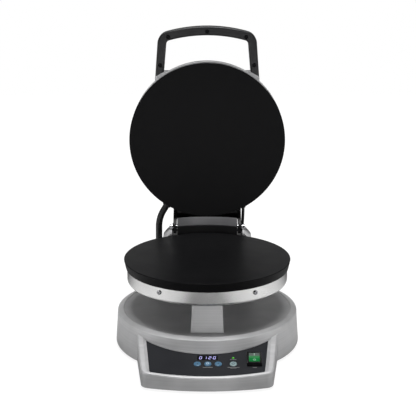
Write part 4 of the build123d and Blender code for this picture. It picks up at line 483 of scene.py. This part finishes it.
# Polycarbonate film printed on its back, satin in front: smooth charcoal with a weak, wide sheen.
PANEL_PRINT = Finish("printed_polycarbonate", "#1f2023", "#252629", 0.36, grain_mm=0.6,
                     height_mm=0.006, mottle_mm=80.0, specular=0.08, ior=1.585)
# Smoked acrylic, polished: almost black and quite flat, with a sharp, faint mirror of the lamps.
WINDOW = Finish("smoked_window", "#060608", "#08080a", 0.1, grain_mm=5.0, height_mm=0.0,
                specular=0.15, ior=1.49)
# Blue polycarbonate caps, moulded and clear coated: dusty blue under a small glassy highlight.
BLUE_KEY = Finish("blue_polycarbonate", "#2d5774", "#406781", 0.3, grain_mm=2.0, height_mm=0.004,
                  coat=0.3, specular=0.4, ior=1.585)
# The same cap moulded in a pale grey green: milky, with the same glassy highlight.
PALE_KEY = Finish("pale_polycarbonate", "#75898b", "#859899", 0.3, grain_mm=2.0, height_mm=0.004,
                  coat=0.3, specular=0.4, ior=1.585)
# Clear green acrylic lens over a small lamp: fresh green that shines a little by itself.
GREEN_LAMP = Finish("green_lamp", "#2f8a14", "#3fa01a", 0.2, grain_mm=2.0, height_mm=0.0,
                    glow="#4fc21a", glow_strength=0.3, ior=1.49)
# Green polycarbonate rocker, satin, lit from inside: deep green, with a painted sheen: a greyer
# tone painted on its far end, which lies flat to the light.
GREEN_ROCKER = Finish("lit_green_rocker", "#04602a", "#087234", 0.4, grain_mm=3.0,
                      height_mm=0.002, specular=0.05, ior=1.585,
                      painted_sheen=PaintedSheen("#3f4a45", (0.0, 0.977, 0.213), -171.6, -169.2))
# Nylon moulded in a polished tool: deep black with thin bright lines along its edges.
GLOSS_BLACK = Finish("gloss_black_nylon", "#0b0b0c", "#101011", 0.2, height_mm=0.004,
                     specular=0.45, ior=1.53)
# Moulded nitrile rubber: dull black without a highlight, a little dusty.
RUBBER = Finish("nitrile_rubber", "#141414", "#1c1c1c", 0.75, grain_mm=0.8, height_mm=0.03,
                ior=1.52)
# Extruded silicone sleeve: smooth black with a long, soft line of light.
SLEEVE = Finish("silicone_sleeve", "#0f0f10", "#161617", 0.42, grain_mm=1.2, specular=0.4,
                ior=1.41)
# Hot-dip galvanised sheet: cool grey in patches of crystals 12 mm across, each a bit different.
GALVANISED = Finish("galvanised_sheet", "#85878a", "#9b9da0", 0.45, metallic=0.8, grain_mm=3.0,
                    height_mm=0.004, mottle_mm=12.0)
# Glass-epoxy board with green solder mask: deep green, smooth, half glossy.
CIRCUIT = Finish("circuit_laminate", "#10502a", "#156334", 0.35, height_mm=0.004)
# Phenolic and ABS cases of bought parts, moulded matt: dark, slightly bluish grey.
COMPONENT = Finish("moulded_component", "#26262a", "#303035", 0.5)
# Nickel-alloy tube that was heated many times: dull metal with brown and straw tints, 15 mm wide.
SHEATH = Finish("heat_tinted_sheath", "#5a5148", "#6f665d", 0.4, metallic=1.0, height_mm=0.006,
                mottle_mm=15.0)
# Pressed mineral wool: straw white, rough all over and without any highlight.
WOOL = Finish("mineral_wool", "#b8b29c", "#cfc9b4", 0.95, grain_mm=1.2, height_mm=0.3,
              mottle_mm=8.0)
# Turned brass, left bare: yellow metal with crisp highlights.
BRASS = Finish("plain_brass", "#a98b45", "#b99b55", 0.3, metallic=1.0, height_mm=0.003)
# Stainless pan heads, pressed and polished: small round mirrors, part bright and part dark.
SCREW_STEEL = Finish("bright_screw_steel", "#838386", "#98989b", 0.16, metallic=1.0,
                     grain_mm=0.4, height_mm=0.003)
# Epoxy light bars of a lit display: flat violet white that comes from inside.
DIGIT_GLOW = Finish("led_segment", "#8d8ac8", "#a3a0dc", 0.4, glow="#b9b6f0",
                    glow_strength=0.75)
# White screen ink in thin rules: from afar it mixes with the dark film to a mid grey.
PRINT_WHITE = Finish("white_panel_ink", "#6c6c6c", "#7a7a7a", 0.5, grain_mm=0.4,
                     height_mm=0.002)
# Navy pad-printed ink on the caps: flat and dark, without a gloss of its own.
MARK_NAVY = Finish("navy_key_ink", "#12283a", "#193449", 0.45, grain_mm=0.4, height_mm=0.002)
# Pale blue pad-printed ink: flat, and lighter than the cap under it.
MARK_PALE = Finish("pale_key_ink", "#b9c9d6", "#c6d4de", 0.45, grain_mm=0.4, height_mm=0.002)
# White ink pressed into the rocker: the lamp under it turns it a soft grey green.
MARK_SWITCH = Finish("moulded_switch_mark", "#7fa590", "#8cb19c", 0.4, grain_mm=0.4,
                     height_mm=0.002)

NODES_BY_FINISH: tuple[tuple[Finish, str], ...] = (
    (SILVER, "base_casting rear_tower pedestal lid_cover"),
    (NON_STICK, "lower_plate upper_plate"),
    (BLACK_PAINT, "hinge_block hinge_arm_left hinge_arm_right hinge_saddle"),
    (STAINLESS, "lower_housing"),
    (GUARD_STEEL, "hinge_guard"),
    (GROUND_STEEL, "hinge_pin stop_rod lower_probe upper_probe"),
    (ZINC, "bottom_plate_screws foot_screws board_screws casting_screws"),
    (ZINC, "housing_screws cover_screws saddle_screws"),
    (BLACK_ZINC, "pin_clips arm_screws handle_screws"),
    (HANDLE_PLASTIC, "handle_front handle_back cord_gland base_glands lid_glands lead_clip"),
    (PANEL_PRINT, "control_fascia"),
    (WINDOW, "display_window"),
    (BLUE_KEY, "key_down key_timer key_up"),
    (PALE_KEY, "key_start"),
    (GREEN_LAMP, "indicator_lamp"),
    (GREEN_ROCKER, "rocker"),
    (GLOSS_BLACK, "rocker_housing"),
    (RUBBER, "rubber_feet"),
    (SLEEVE, "conduit lead"),
    (GALVANISED, "bottom_plate"),
    (CIRCUIT, "control_board power_board"),
    (COMPONENT, "display_module key_switches power_relays power_transformer buzzer"),
    (COMPONENT, "terminal_block lower_cutout upper_cutout"),
    (SHEATH, "lower_element upper_element"),
    (WOOL, "lower_insulation upper_insulation"),
    (BRASS, "board_spacers"),
)
NODE_FINISHES = {name: finish for finish, names in NODES_BY_FINISH for name in names.split()}


def start_fresh() -> None:
    """Leave edit mode and deselect all, so that the next operator acts on its own piece only."""
    if bpy.context.mode != "OBJECT":
        bpy.ops.object.mode_set(mode="OBJECT")
    bpy.ops.object.select_all(action="DESELECT")


def make_active(piece: Piece) -> None:
    """Select one piece alone, so that the next operator acts on it.

    Args:
        piece: the piece to act on.
    """
    start_fresh()
    piece.select_set(True)
    bpy.context.view_layer.objects.active = piece


def discard(piece: Piece) -> None:
    """Remove a piece that has done its work, and its mesh with it.

    Args:
        piece: the piece to remove.
    """
    mesh = piece.data
    bpy.data.objects.remove(piece)
    bpy.data.meshes.remove(mesh)


class Pick(Enum):
    """What is picked in edit mode, by Blender's name for it."""

    FACES = "FACE"
    EDGES = "EDGE"
    POINTS = "VERT"


def pick(piece: Piece, kind: Pick, wanted: Callable[..., bool]) -> None:
    """Select in edit mode what is wanted, and nothing else.

    Args:
        piece: the piece that is in edit mode.
        kind: what is picked.
        wanted: tells it by a face's centre and normal, an edge's two ends or a point's place.
    """
    bpy.ops.mesh.select_mode(type=kind.value)
    bpy.ops.mesh.select_all(action="DESELECT")
    bpy.ops.object.mode_set(mode="OBJECT")
    mesh = piece.data
    if kind is Pick.FACES:
        for face in mesh.polygons:
            face.select = wanted(face.center, face.normal)
    elif kind is Pick.EDGES:
        for edge in mesh.edges:
            edge.select = wanted(*(mesh.vertices[end].co for end in edge.vertices))
    else:
        for point in mesh.vertices:
            point.select = wanted(point.co)
    bpy.ops.object.mode_set(mode="EDIT")


def finish_piece(piece: Piece, name: str, finish: Finish) -> Piece:
    """Turn a piece's normals outward, leave edit mode, smooth, name and dress it.

    Args:
        piece: the piece that was shaped.
        name: its name.
        finish: its surface.

    Returns:
        The same piece, at the origin, with its size in its mesh.
    """
    if bpy.context.mode != "EDIT_MESH":
        bpy.ops.object.mode_set(mode="EDIT")
    bpy.ops.mesh.select_all(action="SELECT")
    bpy.ops.mesh.remove_doubles(threshold=MERGE_MM * MM)
    bpy.ops.mesh.normals_make_consistent(inside=False)
    bpy.ops.object.mode_set(mode="OBJECT")
    bpy.ops.object.transform_apply(location=True, rotation=True, scale=True)
    bpy.ops.object.shade_smooth_by_angle(angle=math.radians(SHARP_DEG))
    piece.name = name
    finish.dress(piece)
    return piece


def copies(template: Piece, places: list[Matrix], name: str) -> Piece:
    """Copy a piece to each place, each copy with its own mesh, and join the copies.

    Args:
        template: the piece to copy, which is removed afterwards.
        places: where each copy goes.
        name: name of the joined piece.

    Returns:
        The joined piece.
    """
    start_fresh()
    made = []
    for place in places:
        piece = template.copy()
        piece.data = template.data.copy()
        piece.data.transform(place)
        bpy.context.scene.collection.objects.link(piece)
        piece.select_set(True)
        made.append(piece)
    joined = made[0]
    bpy.context.view_layer.objects.active = joined
    bpy.ops.object.join()
    discard(template)
    joined.name = name
    return joined


def slide(across: float, up: float) -> Matrix:
    """Move along X and Y, in millimetres."""
    return Matrix.Translation((across * MM, up * MM, 0))


def spin(degrees: float) -> Matrix:
    """Turn round Z, anticlockwise from above."""
    return Matrix.Rotation(math.radians(degrees), 4, "Z")


def runs_through(one: Vector, other: Vector) -> bool:
    """Tell whether an edge runs through the thickness of a flat mark."""
    return abs(one.z - other.z) > 0.5 * MARK_THICK * MM


def flat_prism(sides: int, radius: float) -> Piece:
    """Start a flat mark from a thin prism round Z.

    Args:
        sides: how many sides it has.
        radius: its radius in millimetres.

    Returns:
        The prism, in edit mode.
    """
    start_fresh()
    bpy.ops.mesh.primitive_cylinder_add(vertices=sides, radius=radius * MM, depth=MARK_THICK * MM)
    piece = bpy.context.object
    bpy.ops.object.mode_set(mode="EDIT")
    return piece


def mark_bar(length: float, width: float) -> Piece:
    """Shape a flat bar with rounded corners, centred, along its own X.

    Args:
        length: its length in millimetres.
        width: its width in millimetres.

    Returns:
        The bar, still in edit mode.
    """
    start_fresh()
    bpy.ops.mesh.primitive_cube_add(size=1.0)
    piece = bpy.context.object
    bpy.ops.object.mode_set(mode="EDIT")
    bpy.ops.transform.resize(value=(length * MM, width * MM, MARK_THICK * MM))
    pick(piece, Pick.EDGES, runs_through)
    bpy.ops.mesh.bevel(offset=BAR_CORNER * width * MM, segments=3)
    return piece


def mark_triangle(side: float) -> Piece:
    """Shape a flat triangle with softened corners, centred, its point along Y.

    Args:
        side: the length of its sides in millimetres.

    Returns:
        The triangle, still in edit mode.
    """
    piece = flat_prism(3, side / math.sqrt(3))
    pick(piece, Pick.EDGES, runs_through)
    bpy.ops.mesh.bevel(offset=TRIANGLE_CORNER * side * MM, segments=2)
    return piece


def mark_ring(radius: float, width: float, opening_deg: float = 0.0) -> Piece:
    """Shape a flat ring round its own Z, open towards Y where an angle is given.

    Args:
        radius: its outer radius in millimetres.
        width: the width of its band in millimetres.
        opening_deg: the angle over which it is open.

    Returns:
        The ring, still in edit mode.
    """
    piece = flat_prism(RING_SIDES, radius)
    pick(piece, Pick.FACES, lambda centre, normal: abs(normal.z) > FACING)
    bpy.ops.mesh.inset(thickness=width * MM)
    bpy.ops.mesh.bridge_edge_loops()
    if opening_deg:
        half = math.radians(opening_deg / 2)
        pick(piece, Pick.FACES,
             lambda centre, normal: abs(math.atan2(centre.x, centre.y)) < half)
        bpy.ops.mesh.delete(type="FACE")
        bpy.ops.mesh.select_mode(type="EDGE")
        bpy.ops.mesh.select_non_manifold()
        bpy.ops.mesh.edge_face_add()
    return piece


def digit_segment(length: float, width: float) -> Piece:
    """Shape one bar of a seven-segment digit with pointed ends, centred, along its own X.

    Args:
        length: its length from point to point in millimetres.
        width: its width in millimetres.

    Returns:
        The bar, still in edit mode.
    """
    piece = flat_prism(4, width / 2)
    pick(piece, Pick.EDGES, lambda one, other: not runs_through(one, other))
    bpy.ops.mesh.subdivide(number_cuts=1)
    for way in (-1, 1):
        pick(piece, Pick.POINTS, lambda place, way=way: place.x * way > MERGE_MM * MM)
        bpy.ops.transform.translate(value=(way * (length - width) / 2 * MM, 0.0, 0.0))
    return piece


@dataclass(frozen=True)
class Panel:
    """The sloping control panel's own axes: across, up the slope, and out of it."""

    foot_mm: Triple = (0.0, -229.25, 26.9)
    slope_deg: float = 12.3
    above_mm: float = 40.0

    def turn(self) -> Matrix:
        """Turn from the panel's own axes to the frame's."""
        return Matrix.Rotation(math.radians(self.slope_deg), 4, "X")

    def spot(self, node: str, across: float, up: float) -> Matrix:
        """Find the node's surface under a place of the panel.

        Args:
            node: the CAD node that carries the mark.
            across: distance from the middle, to the right, in millimetres.
            up: distance up the slope from the panel's front edge, in millimetres.

        Returns:
            A matrix that puts a mark there, flat on that surface.
        """
        turn = self.turn()
        start = Vector((across * MM, up * MM, self.above_mm * MM))
        above = Vector(self.foot_mm) * MM + turn @ start
        into = turn @ Vector((0.0, 0.0, -1.0))
        hit, place, normal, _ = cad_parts[node].ray_cast(above, into)
        if not hit:
            raise ValueError(f"no surface of {node} at {across}, {up}")
        out = turn @ Vector((0.0, 0.0, 1.0))
        tilt = out.rotation_difference(normal).to_matrix().to_4x4()
        return Matrix.Translation(place) @ tilt @ turn


@dataclass(frozen=True)
class Rule:
    """A printed rule: its middle across and up the panel, its length and its width."""

    name: str
    across: float
    up: float
    length: float
    width: float = 0.9


RULES = (
    Rule("ink_keys", 1.0, 25.4, 16.5, 1.1),
    Rule("ink_start", 43.9, 25.2, 20.0),
    Rule("ink_start_second", 43.9, 22.9, 10.0),
    Rule("ink_lamp", 44.0, 47.0, 11.0),
    Rule("ink_rocker", 79.4, 25.0, 7.0),
)

# Which of the seven bars of a digit are lit, named a to g from the top, clockwise, the middle last.
LIT_BARS = {"0": "abcdef", "1": "bc", "2": "abged"}


@dataclass(frozen=True)
class ControlPanel:
    """What is lit, moulded or printed on the panel: digits, key marks, switch marks and rules.

    Places are across and up the panel, and bars are length and width, rings radius and width, all
    in millimetres.
    """

    panel: Panel = Panel()
    readout: str = "0120"
    readout_at: Pair = (0.5, 52.3)
    digit_pitch: float = 7.8
    digit_width: float = 3.8
    digit_rise: float = 3.5
    digit_lean: float = 0.12
    digit_bar: Pair = (3.3, 1.0)
    keys_up: float = 34.1
    down_across: float = -16.6
    timer_across: float = 1.0
    up_across: float = 18.6
    start_across: float = 43.9
    arrow_side: float = 3.6
    clock_ring: Pair = (2.5, 0.55)
    clock_hand: Pair = (1.9, 0.5)
    clock_hand_off: float = 0.7
    start_ring: Pair = (2.9, 0.8)
    start_opening_deg: float = 80.0
    start_bar: Pair = (2.8, 0.8)
    start_bar_off: float = 1.9
    rocker_across: float = 79.4
    rocker_line: Pair = (4.2, 0.9)
    rocker_line_up: float = 50.6
    rocker_ring: Pair = (2.3, 0.8)
    rocker_ring_up: float = 39.4
    rules: tuple[Rule, ...] = RULES

    def build(self) -> list[Piece]:
        """Make every mark of the panel.

        Returns:
            The marks.
        """
        return [self.make_digits(), *self.make_arrows(), *self.make_clock(),
                *self.make_start_marks(), *self.make_switch_marks(), *self.make_rules()]

    def make_digits(self) -> Piece:
        """Plain seven-segment digits on the window, leaning a little to the right.

        Returns:
            The digits, joined.
        """
        half, rise = self.digit_width / 2, self.digit_rise
        seats = {
            "a": (0, rise, 0), "b": (half, rise / 2, 90), "c": (half, -rise / 2, 90),
            "d": (0, -rise, 0), "e": (-half, -rise / 2, 90), "f": (-half, rise / 2, 90),
            "g": (0, 0, 0)}
        lean = Matrix(((1, self.digit_lean, 0, 0), (0, 1, 0, 0), (0, 0, 1, 0), (0, 0, 0, 1)))
        middle = self.panel.spot("display_window", *self.readout_at)
        places = []
        for number, digit in enumerate(self.readout):
            across = (number - (len(self.readout) - 1) / 2) * self.digit_pitch
            for letter in LIT_BARS[digit]:
                x, y, turn = seats[letter]
                places.append(middle @ slide(across, 0.0) @ lean @ slide(x, y) @ spin(turn))
        segment = finish_piece(digit_segment(*self.digit_bar), "segment", DIGIT_GLOW)
        digits = copies(segment, places, "display_digits")
        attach(digits, "base")
        return digits

    def make_arrows(self) -> list[Piece]:
        """Arrows on the two outer keys, one down and one up.

        Returns:
            The two arrows.
        """
        arrows = []
        for body, node, across, turn in (("down_key", "key_down", self.down_across, 180.0),
                                         ("up_key", "key_up", self.up_across, 0.0)):
            arrow = finish_piece(mark_triangle(self.arrow_side), f"{node}_arrow", MARK_NAVY)
            arrow.data.transform(self.panel.spot(node, across, self.keys_up) @ spin(turn))
            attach(arrow, body)
            arrows.append(arrow)
        return arrows

    def make_clock(self) -> list[Piece]:
        """A small clock on the middle key.

        Returns:
            Its ring and its two hands.
        """
        dial = self.panel.spot("key_timer", self.timer_across, self.keys_up)
        ring = finish_piece(mark_ring(*self.clock_ring), "key_timer_ring", MARK_PALE)
        ring.data.transform(dial)
        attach(ring, "timer_key")
        off = self.clock_hand_off
        hand = finish_piece(mark_bar(*self.clock_hand), "hand", MARK_PALE)
        hands = copies(hand, [dial @ slide(0.0, off) @ spin(90.0), dial @ slide(off, 0.0)],
                       "key_timer_hands")
        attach(hands, "timer_key")
        return [ring, hands]

    def make_start_marks(self) -> list[Piece]:
        """An open ring and an upright bar on the start key.

        Returns:
            The ring and the bar.
        """
        power = self.panel.spot("key_start", self.start_across, self.keys_up)
        ring = finish_piece(mark_ring(*self.start_ring, self.start_opening_deg),
                            "key_start_ring", MARK_NAVY)
        ring.data.transform(power)
        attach(ring, "start_key")
        bar = finish_piece(mark_bar(*self.start_bar), "key_start_bar", MARK_NAVY)
        bar.data.transform(power @ slide(0.0, self.start_bar_off) @ spin(90.0))
        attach(bar, "start_key")
        return [ring, bar]

    def make_switch_marks(self) -> list[Piece]:
        """The line and the ring that every mains rocker carries, one on each half.

        Returns:
            The line and the ring.
        """
        line = finish_piece(mark_bar(*self.rocker_line), "rocker_line", MARK_SWITCH)
        line.data.transform(
            self.panel.spot("rocker", self.rocker_across, self.rocker_line_up) @ spin(90.0))
        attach(line, "rocker")
        ring = finish_piece(mark_ring(*self.rocker_ring), "rocker_ring", MARK_SWITCH)
        ring.data.transform(self.panel.spot("rocker", self.rocker_across, self.rocker_ring_up))
        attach(ring, "rocker")
        return [line, ring]

    def make_rules(self) -> list[Piece]:
        """Plain printed rules under the keys and the rocker and beside the lamp.

        Returns:
            The rules.
        """
        made = []
        for plan in self.rules:
            rule = finish_piece(mark_bar(plan.length, plan.width), plan.name, PRINT_WHITE)
            rule.data.transform(self.panel.spot("control_fascia", plan.across, plan.up))
            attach(rule, "base")
            made.append(rule)
        return made


def separate_solids(node: Piece, same_mm: float = 0.001) -> list[list[Vector]]:
    """Split the loose triangles of a CAD node into its separate solids.

    Args:
        node: the object of the CAD node.
        same_mm: step in millimetres to which places are rounded, so that corners meet.

    Returns:
        The points of each solid.
    """
    mesh = node.data
    keys = [tuple(round(value / (same_mm * MM)) for value in point.co) for point in mesh.vertices]
    parent = {key: key for key in keys}

    def root(key: tuple[int, ...]) -> tuple[int, ...]:
        """Follow a corner to the one that stands for its whole solid.

        Args:
            key: the corner, as its rounded place.

        Returns:
            The corner that stands for the solid.
        """
        while parent[key] != key:
            parent[key] = parent[parent[key]]
            key = parent[key]
        return key

    for face in mesh.polygons:
        first = root(keys[face.vertices[0]])
        for other in face.vertices[1:]:
            parent[root(keys[other])] = first
    solids: dict[tuple[int, ...], list[Vector]] = {}
    for index, key in enumerate(keys):
        solids.setdefault(root(key), []).append(mesh.vertices[index].co.copy())
    return list(solids.values())


@dataclass(frozen=True)
class CrossScrews:
    """Pan-head screws with a cross recess, in the places of a CAD node's plain ones.

    Radial screws look away from the upright line at X zero and Y line_y_mm, the others along axis.
    Shares are of the head's height for dome and depth, and of its radius for wing and blade.
    """

    node: str
    body: str
    head_mm: float
    height_mm: float
    shank_mm: float
    finish: Finish
    radial: bool = False
    axis: Triple = (0.0, 0.0, 1.0)
    line_y_mm: float = -0.35
    crown_mm: float = 0.05
    sides: int = 40
    dome_share: float = 0.55
    dome_steps: int = 5
    dome_profile: float = 0.6
    wing_share: float = 0.62
    blade_share: float = 0.13
    depth_share: float = 0.62
    taper: float = 0.5

    def build(self) -> list[Piece]:
        """Model one screw and copy it to each place.

        Returns:
            The screws, joined, as a list of one.
        """
        places = [self.seat(points) for points in separate_solids(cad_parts[self.node])]
        template = self.template(max(length for _, length in places))
        screws = copies(template, [place for place, _ in places], f"{self.node}_crossed")
        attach(screws, self.body)
        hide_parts(self.node)
        return [screws]

    def seat(self, points: list[Vector]) -> tuple[Matrix, float]:
        """Find where a screw's head seats and which way it looks.

        Args:
            points: the points of the plain screw.

        Returns:
            The matrix that places the new screw, and the length of its shank.
        """
        low = Vector(min(p[i] for p in points) for i in range(3))
        high = Vector(max(p[i] for p in points) for i in range(3))
        middle = (low + high) / 2
        out = Vector(self.axis)
        if self.radial:
            out = Vector((middle.x, middle.y - self.line_y_mm * MM, 0.0)).normalized()
        reach = [p.dot(out) for p in points]
        top = [p for p, r in zip(points, reach) if r > max(reach) - self.crown_mm * MM]
        centre = sum(top, Vector()) / len(top)
        turn = out.to_track_quat("Z", "Y").to_matrix().to_4x4()
        seat = Matrix.Translation(centre - out * self.height_mm * MM) @ turn
        return seat, max(reach) - min(reach) - self.height_mm * MM

    def template(self, length: float) -> Piece:
        """Model the screw at the origin, its seat at zero and its head up.

        Args:
            length: length of the shank in metres.

        Returns:
            The modelled screw.
        """
        screw, cutter = self.blank(length), self.cross()
        make_active(screw)
        cut = screw.modifiers.new("recess", "BOOLEAN")
        cut.operation = "DIFFERENCE"
        cut.solver = "EXACT"
        cut.object = cutter
        bpy.ops.object.modifier_apply(modifier=cut.name)
        discard(cutter)
        return finish_piece(screw, "screw", self.finish)

    def blank(self, length: float) -> Piece:
        """Round the head over and draw the shank out of its underside.

        Args:
            length: length of the shank in metres.

        Returns:
            The screw without its recess.
        """
        head, height = self.head_mm / 2 * MM, self.height_mm * MM
        start_fresh()
        bpy.ops.mesh.primitive_cylinder_add(vertices=self.sides, radius=head, depth=height,
                                            location=(0, 0, height / 2))
        screw = bpy.context.object
        bpy.ops.object.transform_apply(location=True)
        bpy.ops.object.mode_set(mode="EDIT")
        pick(screw, Pick.EDGES, lambda one, other: min(one.z, other.z) > height / 2)
        bpy.ops.mesh.bevel(offset=self.dome_share * height, segments=self.dome_steps,
                           profile=self.dome_profile)
        pick(screw, Pick.FACES, lambda centre, normal: normal.z < -FACING)
        bpy.ops.mesh.inset(thickness=head - self.shank_mm / 2 * MM)
        bpy.ops.mesh.extrude_region_move(TRANSFORM_OT_translate={"value": (0.0, 0.0, -length)})
        bpy.ops.object.mode_set(mode="OBJECT")
        return screw

    def cross(self) -> Piece:
        """Shape the tapered cross that is cut into the head.

        Returns:
            The cross, its middle at the top of the head.
        """
        head, height = self.head_mm / 2 * MM, self.height_mm * MM
        wing, blade = self.wing_share * head, self.blade_share * head
        depth = self.depth_share * height
        start_fresh()
        bpy.ops.mesh.primitive_cube_add(size=1.0)
        cutter = bpy.context.object
        bpy.ops.object.mode_set(mode="EDIT")
        bpy.ops.transform.resize(value=(2 * blade, 2 * blade, 2 * depth))
        pick(cutter, Pick.FACES, lambda centre, normal: abs(normal.z) < EDGE_ON)
        bpy.ops.mesh.extrude_faces_move(TRANSFORM_OT_shrink_fatten={"value": wing - blade})
        pick(cutter, Pick.POINTS, lambda place: place.z < 0)
        bpy.ops.transform.resize(value=(self.taper, self.taper, 1.0))
        bpy.ops.mesh.select_all(action="SELECT")
        bpy.ops.mesh.normals_make_consistent(inside=False)
        bpy.ops.transform.translate(value=(0.0, 0.0, height))
        bpy.ops.object.mode_set(mode="OBJECT")
        return cutter


@dataclass(frozen=True)
class Skin:
    """A CAD node's own form with its triangles merged and its shading worked out afresh."""

    node: str
    body: str
    angle_deg: float = 28.0
    merge_mm: float = 0.004

    def build(self) -> list[Piece]:
        """Copy the node, merge the copy, smooth it by angle and let it stand for the node.

        Returns:
            The copy, as a list of one.
        """
        skin = add_object(f"{self.node}_skin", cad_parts[self.node].data.copy())
        make_active(skin)
        bpy.ops.mesh.customdata_custom_splitnormals_clear()
        bpy.ops.object.mode_set(mode="EDIT")
        bpy.ops.mesh.select_all(action="SELECT")
        bpy.ops.mesh.remove_doubles(threshold=self.merge_mm * MM)
        bpy.ops.mesh.dissolve_degenerate(threshold=self.merge_mm * MM)
        bpy.ops.object.mode_set(mode="OBJECT")
        bpy.ops.object.shade_smooth_by_angle(angle=math.radians(self.angle_deg))
        even = skin.modifiers.new("even_shading", "WEIGHTED_NORMAL")
        even.keep_sharp = True
        bpy.ops.object.modifier_apply(modifier=even.name)
        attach(skin, self.body)
        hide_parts(self.node)
        return [skin]


@dataclass(frozen=True)
class Hose:
    """A flexible sleeve from the base to the lid, which in the machine bends when the lid turns;
    here it keeps one fixed course.
    """

    node: str
    diameter_mm: float
    corners_mm: tuple[Triple, ...]
    radii_mm: Pair
    bend_steps: int = 16
    round_steps: int = 8

    def path(self) -> list[Vector]:
        """Round the corners of the sleeve's course.

        Returns:
            Points along the centre line, in metres.
        """
        points = [Vector(corner) * MM for corner in self.corners_mm]
        line = [points[0]]
        for before, corner, after, radius in zip(points, points[1:], points[2:], self.radii_mm):
            back, on = (before - corner).normalized(), (after - corner).normalized()
            half = back.angle(on) / 2
            reach = radius * MM / math.tan(half)
            centre = corner + (back + on).normalized() * (radius * MM / math.sin(half))
            first, last = corner + back * reach - centre, corner + on * reach - centre
            line += [centre + first.slerp(last, step / self.bend_steps) * first.length
                     for step in range(self.bend_steps + 1)]
        line.append(points[-1])
        return line

    def build(self) -> list[Piece]:
        """Sweep the sleeve along its course and close its ends.

        Returns:
            The sleeve, as a list of one.
        """
        line = self.path()
        curve = bpy.data.curves.new(self.node, "CURVE")
        curve.dimensions = "3D"
        curve.bevel_depth = self.diameter_mm / 2 * MM
        curve.bevel_resolution = self.round_steps
        curve.use_fill_caps = True
        spline = curve.splines.new("POLY")
        spline.points.add(len(line) - 1)
        for point, place in zip(spline.points, line):
            point.co = (*place, 1.0)
        make_active(add_object(f"{self.node}_sleeve", curve))
        bpy.ops.object.convert(target="MESH")
        sleeve = finish_piece(bpy.context.object, f"{self.node}_sleeve", SLEEVE)
        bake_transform(sleeve)
        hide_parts(self.node)
        return [sleeve]


SCREWS = (
    CrossScrews("housing_screws", "base", 8.0, 2.6, 4.0, SCREW_STEEL, radial=True),
    CrossScrews("handle_screws", "lid", 8.0, 2.6, 4.0, BLACK_ZINC, axis=(0.0, -1.0, 0.0)),
)

SKINS = (Skin("lid_cover", "lid"), Skin("lower_housing", "base"))

HOSES = (
    Hose("conduit", 13.0, ((-97.5, 183.65, 68.8), (-97.5, 183.65, 102.8),
                           (-97.5, 201.45, 178.6), (-79.02, 201.45, 209.64)), (150.0, 58.0)),
    Hose("lead", 6.0, ((71.2, 211.65, 68.8), (71.2, 211.65, 154.0),
                       (72.6, 203.45, 186.29), (72.6, 203.45, 206.29)), (100.0, 100.0)),
)


def dress_frame() -> None:
    """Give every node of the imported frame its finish."""
    for name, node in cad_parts.items():
        NODE_FINISHES[name].dress(node)
        LOG.info("dressed %s as %s", name, NODE_FINISHES[name].name)


def main() -> None:
    """Build the studio, dress the frame, add the small pieces, and report each of them."""
    logging.basicConfig(level=logging.INFO, format="%(name)s: %(message)s")
    Studio().build()
    dress_frame()
    for assembly in (ControlPanel(), *SCREWS, *SKINS, *HOSES):
        for piece in assembly.build():
            LOG.info("made %s with %d faces", piece.name, len(piece.data.polygons))


if __name__ == "__main__":
    main()
